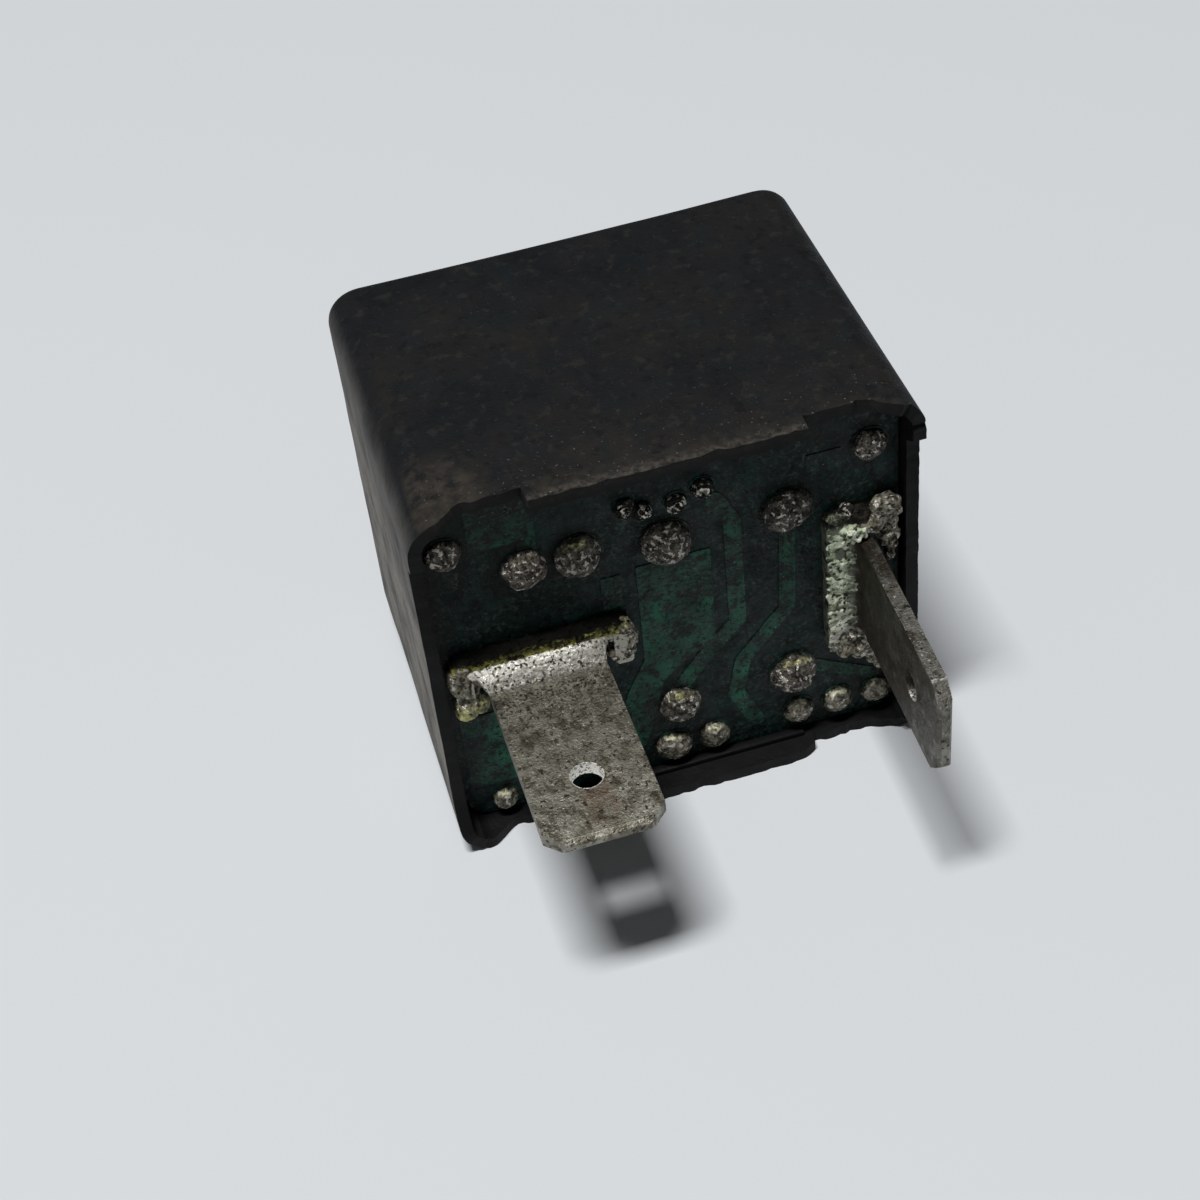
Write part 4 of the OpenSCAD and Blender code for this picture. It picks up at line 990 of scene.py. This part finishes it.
# %% [markdown]
# ## Crusts
# Two crusts lie on the feet. On the left foot it is soot and burnt flux, black on top and
# yellow-green in front. On the right foot it is the salt of corroded tin. Both are made like
# the solder, from many small balls, so thin that the voxels leave holes in them.


# %% Crust of flux on the left foot
def scatter(count, *ranges):
    """Rows of random numbers, with one number from each range."""
    return [[random.uniform(*ends) for ends in ranges] for _ in range(count)]


random.seed(7)
crust_balls = []
for x, z, r in scatter(260, (-4.4, 4.2), (0.9, 1.62), (0.08, 0.17)):
    crust_balls.append((left_x + x, 0.70, left_z + z + 0.1 * math.sin(3 * (left_x + x)), r))
for x, out, r in scatter(220, (-4.4, 4.2), (0.0, 0.7), (0.1, 0.18)):
    crust_balls.append((left_x + x, out, left_z + 1.66, r))
for x, r, out in scatter(90, (-4.4, 4.3), (0.14, 0.27), (0.05, 0.72)):
    crust_balls.append((left_x + x, out, left_z + 1.86 - r * 0.7, r))
crust = piece_from(lumpy_mass(crust_balls, 0.07, 0.10, 5.0), "left_foot_crust")
burnt_flux = finish("burnt rosin flux", "#7d7a35", 0.6, gloss=0.08)
lower = along(burnt_flux, "Z", left_z + 1.15, left_z + 0.85)
upper = along(burnt_flux, "Z", left_z + 1.0, left_z + 1.3)
sooty = along(burnt_flux, "Z", left_z + 1.52, left_z + 1.75)
flux_base = painted(
    colour("#8d8946"),
    ("#dedb96", patches(burnt_flux, 0.3, 0.48, 0.58), 1),
    ("#d5d2c4", broken(lower, 0.3, 0.35, 0.5), 0.95),
    ("#1a1810", patches(burnt_flux, 0.28, 0.44, 0.56), 0.95),
    ("#0b0a08", broken(sooty, 0.6, 0.2, 0.36), 0.98),
    ("#0b0a08", broken(upper, 1.2, 0.5, 0.58), 0.95),
    ("#0b0a08", along(burnt_flux, "Y", rim_y + 1.0, rim_y + 1.15), 0.98))
wear(burnt_flux, flux_base, None, relief(burnt_flux, 0.12, 0.05))
crust.data.materials.append(burnt_flux)

# %% Crust of salts on the right foot
random.seed(11)
salt_balls = []
foot_bend = 0.7
for _ in range(900):
    z = right_z + random.uniform(-4.7, 4.3)
    x = right_x - 1.66 + random.random() ** 1.2 * 1.5
    turn = max(0, x - right_x + foot_bend)
    out = 0.70 + foot_bend - math.sqrt(foot_bend ** 2 - turn * turn)
    if noise.noise(Vector((x * 1.3, 0, z * 1.3))) > -0.4:
        salt_balls.append((x, out, z, random.uniform(0.07, 0.16)))
for x, out, z, r in scatter(70, (-0.6, 0.35), (0.8, 1.15), (3.35, 4.1), (0.1, 0.2)):
    salt_balls.append((right_x + x, out, right_z + z, r))
for x, out, z, r in scatter(40, (0.5, 1.6), (0.2, 0.75), (4.35, 4.95), (0.12, 0.26)):
    salt_balls.append((right_x - x, out, right_z + z, r))
salts = piece_from(lumpy_mass(salt_balls, 0.07, 0.10, 9.0), "right_foot_salts")

# %% Finish of the salts
tin_salts = finish("tin and lead salts", "#c3c9b6", 0.75, gloss=0.2)
lower_end = along(tin_salts, "Z", right_z - 1.0, right_z - 3.5)
at_blade = both(along(tin_salts, "X", right_x - 0.9, right_x - 0.3),
                along(tin_salts, "Z", right_z + 3.2, right_z + 1.6))
upper_end = along(tin_salts, "Z", right_z + 4.15, right_z + 4.4)
# A painted glint where the blade's root meets the foot.
salt_glint = within(tin_salts, (right_x - 0.3, 0.8, right_z + 3.8), 0.2, 0.15)
salt_base = painted(
    colour("#e6efd2"),
    ("#9cae88", patches(tin_salts, 0.6, 0.47, 0.6), 1),
    ("#b9b5ac", lower_end, 0.8),
    ("#6a7052", patches(tin_salts, 0.5, 0.54, 0.62), 0.8),
    ("#1c1f17", patches(tin_salts, 0.3, 0.545, 0.61), 0.95),
    ("#25261c", patches(tin_salts, 1.0, 0.59, 0.63, detail=7), 0.9),
    ("#16170f", broken(at_blade, 0.8, 0.3, 0.5), 0.9),
    ("#2c2720", broken(upper_end, 0.3, 0.62, 0.5), 0.95),
    ("#fffdf2", salt_glint, 1))
wear(tin_salts, salt_base, None, relief(tin_salts, 0.1, 0.05))
salts.data.materials.append(tin_salts)

# %% [markdown]
# ## Inside the cover
# Nothing of the mechanism shows while the cover is on, but it is all there, and each metal,
# wire and moulding gets its own finish, because the cover of a reused part may be hidden.


# %% Metals of the mechanism
def metal(name, light, dark, roughness, size, grain=0.2, stretch=(1, 1, 1)):
    """A plated or drawn metal: two tones in patches and a fine relief."""
    material = finish(name, light, roughness, metallic=1.0)
    base = painted(colour(light), (dark, patches(material, size, 0.4, 0.68), 1))
    bumps = relief(material, grain, 0.008, stretch=stretch)
    rough = rough_by(patches(material, size * 0.6, 0.3, 0.7), roughness - 0.08, roughness + 0.1)
    return wear(material, base, rough, bumps)


zinc_iron = metal("zinc-plated soft iron", "#b4b2a6", "#8a8676", 0.38, 1.6)
pole_iron = metal("turned soft iron", "#aeaca6", "#837f78", 0.34, 1.2, 0.1)
tinned_wire = metal("tinned copper wire", "#b9b5aa", "#8c867a", 0.36, 0.6)
spring_wire = metal("drawn spring steel", "#a9a8a6", "#74716d", 0.3, 0.7)
bronze_strip = metal("rolled phosphor bronze", "#b98a58", "#8d6238", 0.32, 1.4, 0.12, (1, 0.1, 1))
silver_alloy = metal("silver contact alloy, tarnished", "#cbc6bb", "#4f4a44", 0.36, 0.5)
shunt_alloy = metal("constantan wire", "#9a8f7e", "#6f6557", 0.42, 0.6)

# %% Metals on their pieces
for material, nodes in (
        (zinc_iron, ("yoke", "armature")), (pole_iron, ("core", "leaf_rivets")),
        (tinned_wire, ("coil_pin_left", "coil_pin_right", "capacitor_leads",
                       "resistor_left_leads", "resistor_right_leads", "diode_leads",
                       "transistor_leads", "disc_capacitor_leads", "transistor_plate")),
        (spring_wire, ("return_spring",)), (bronze_strip, ("contact_leaf", "fixed_contact_strip")),
        (silver_alloy, ("moving_contact", "fixed_contact")), (shunt_alloy, ("shunt_wire",))):
    for node in nodes:
        dress(node, material)
    print(material.name, "on", ", ".join(nodes))

# %% Enamelled winding
# Enamelled copper: the lacquer makes the red metal darker and glossier.
enamel = finish("enamelled copper wire", "#9c4f28", 0.3, metallic=0.85)
shader_of(enamel).inputs["Coat Weight"].default_value = 0.5
enamel_base = painted(colour("#9c4f28"), ("#6d2f16", patches(enamel, 0.8, 0.4, 0.65), 1))
dress("coil_winding", wear(enamel, enamel_base, None, relief(enamel, 0.3, 0.01)))


# %% Mouldings, rubber and dipped skins
def moulding(name, light, dark, roughness, size=1.5, grain=0.15, depth=0.01):
    """A moulded or dipped surface: two near tones and the grain of its mould or dip."""
    material = finish(name, light, roughness, ior=1.5)
    base = painted(colour(light), (dark, patches(material, size, 0.38, 0.7), 1))
    return material, base, relief(material, grain, depth)


for node, *look in (
        ("bobbin", "glass-filled nylon", "#cfc6ad", "#bdb294", 0.5),
        ("capacitor_bung", "butyl rubber", "#262523", "#1b1a19", 0.75),
        ("power_transistor", "moulded black epoxy", "#232222", "#1a1919", 0.55, 1, 0.1),
        ("disc_capacitor", "dipped phenolic, tan", "#b3722f", "#96591f", 0.45, 0.8, 0.3, 0.03)):
    material, base, bumps = moulding(*look)
    dress(node, wear(material, base, None, bumps))


# %% Bodies with painted rings
# Generic colour codes, as on any resistor, and the ring that marks the cathode of a diode.
def banded(base, middle, places, half_band, codes):
    """Painted rings across a body that lies along X."""
    return painted(base, *(
        (code, between(base, "X", middle + at - half_band, middle + at + half_band, 0.05), 1)
        for at, code in zip(places, codes)))


diode_end = span("diode")[0].x
glassy, glassy_base, glassy_bumps = moulding("moulded epoxy with a ring", "#222122", "#191819",
                                             0.45, 1, 0.1)
glassy_base = banded(glassy_base, diode_end, (0.8,), 0.35, ("#b9b8b4",))
dress("diode", wear(glassy, glassy_base, None, glassy_bumps))
for node, light, dark, codes in (
        ("resistor_left", "#b79a6a", "#a38555", ("#6b3a1c", "#1c1a19", "#c2452b", "#b08b2f")),
        ("resistor_right", "#6d8fa5", "#5b7d94", ("#c9a227", "#5a2f7a", "#6b3a1c", "#6b3a1c"))):
    low, high = span(node)
    side = node.split("_")[1]
    lacquer, base, bumps = moulding("resistor lacquer, " + side, light, dark, 0.4, 1, 0.25, 0.02)
    base = banded(base, (low.x + high.x) / 2, (-2.1, -0.8, 0.3, 2.1), 0.27, codes)
    dress(node, wear(lacquer, base, None, bumps))

# %% Sleeved can of the capacitor
can_end = span("capacitor_can")[1].y + rim_y
sleeve, sleeve_base, sleeve_bumps = moulding("shrunk PVC sleeve on aluminium", "#1f2f4d",
                                             "#19263f", 0.35, 2.5, 0.4, 0.01)
bare = along(sleeve, "Y", can_end - 0.12, can_end - 0.05)
wear(sleeve, painted(sleeve_base, ("#b8b9ba", bare, 1)), None, sleeve_bumps)
sleeve.node_tree.links.new(bare, shader_of(sleeve).inputs["Metallic"])
dress("capacitor_can", sleeve)
print("all", len(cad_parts), "nodes have a finish or a worn piece")
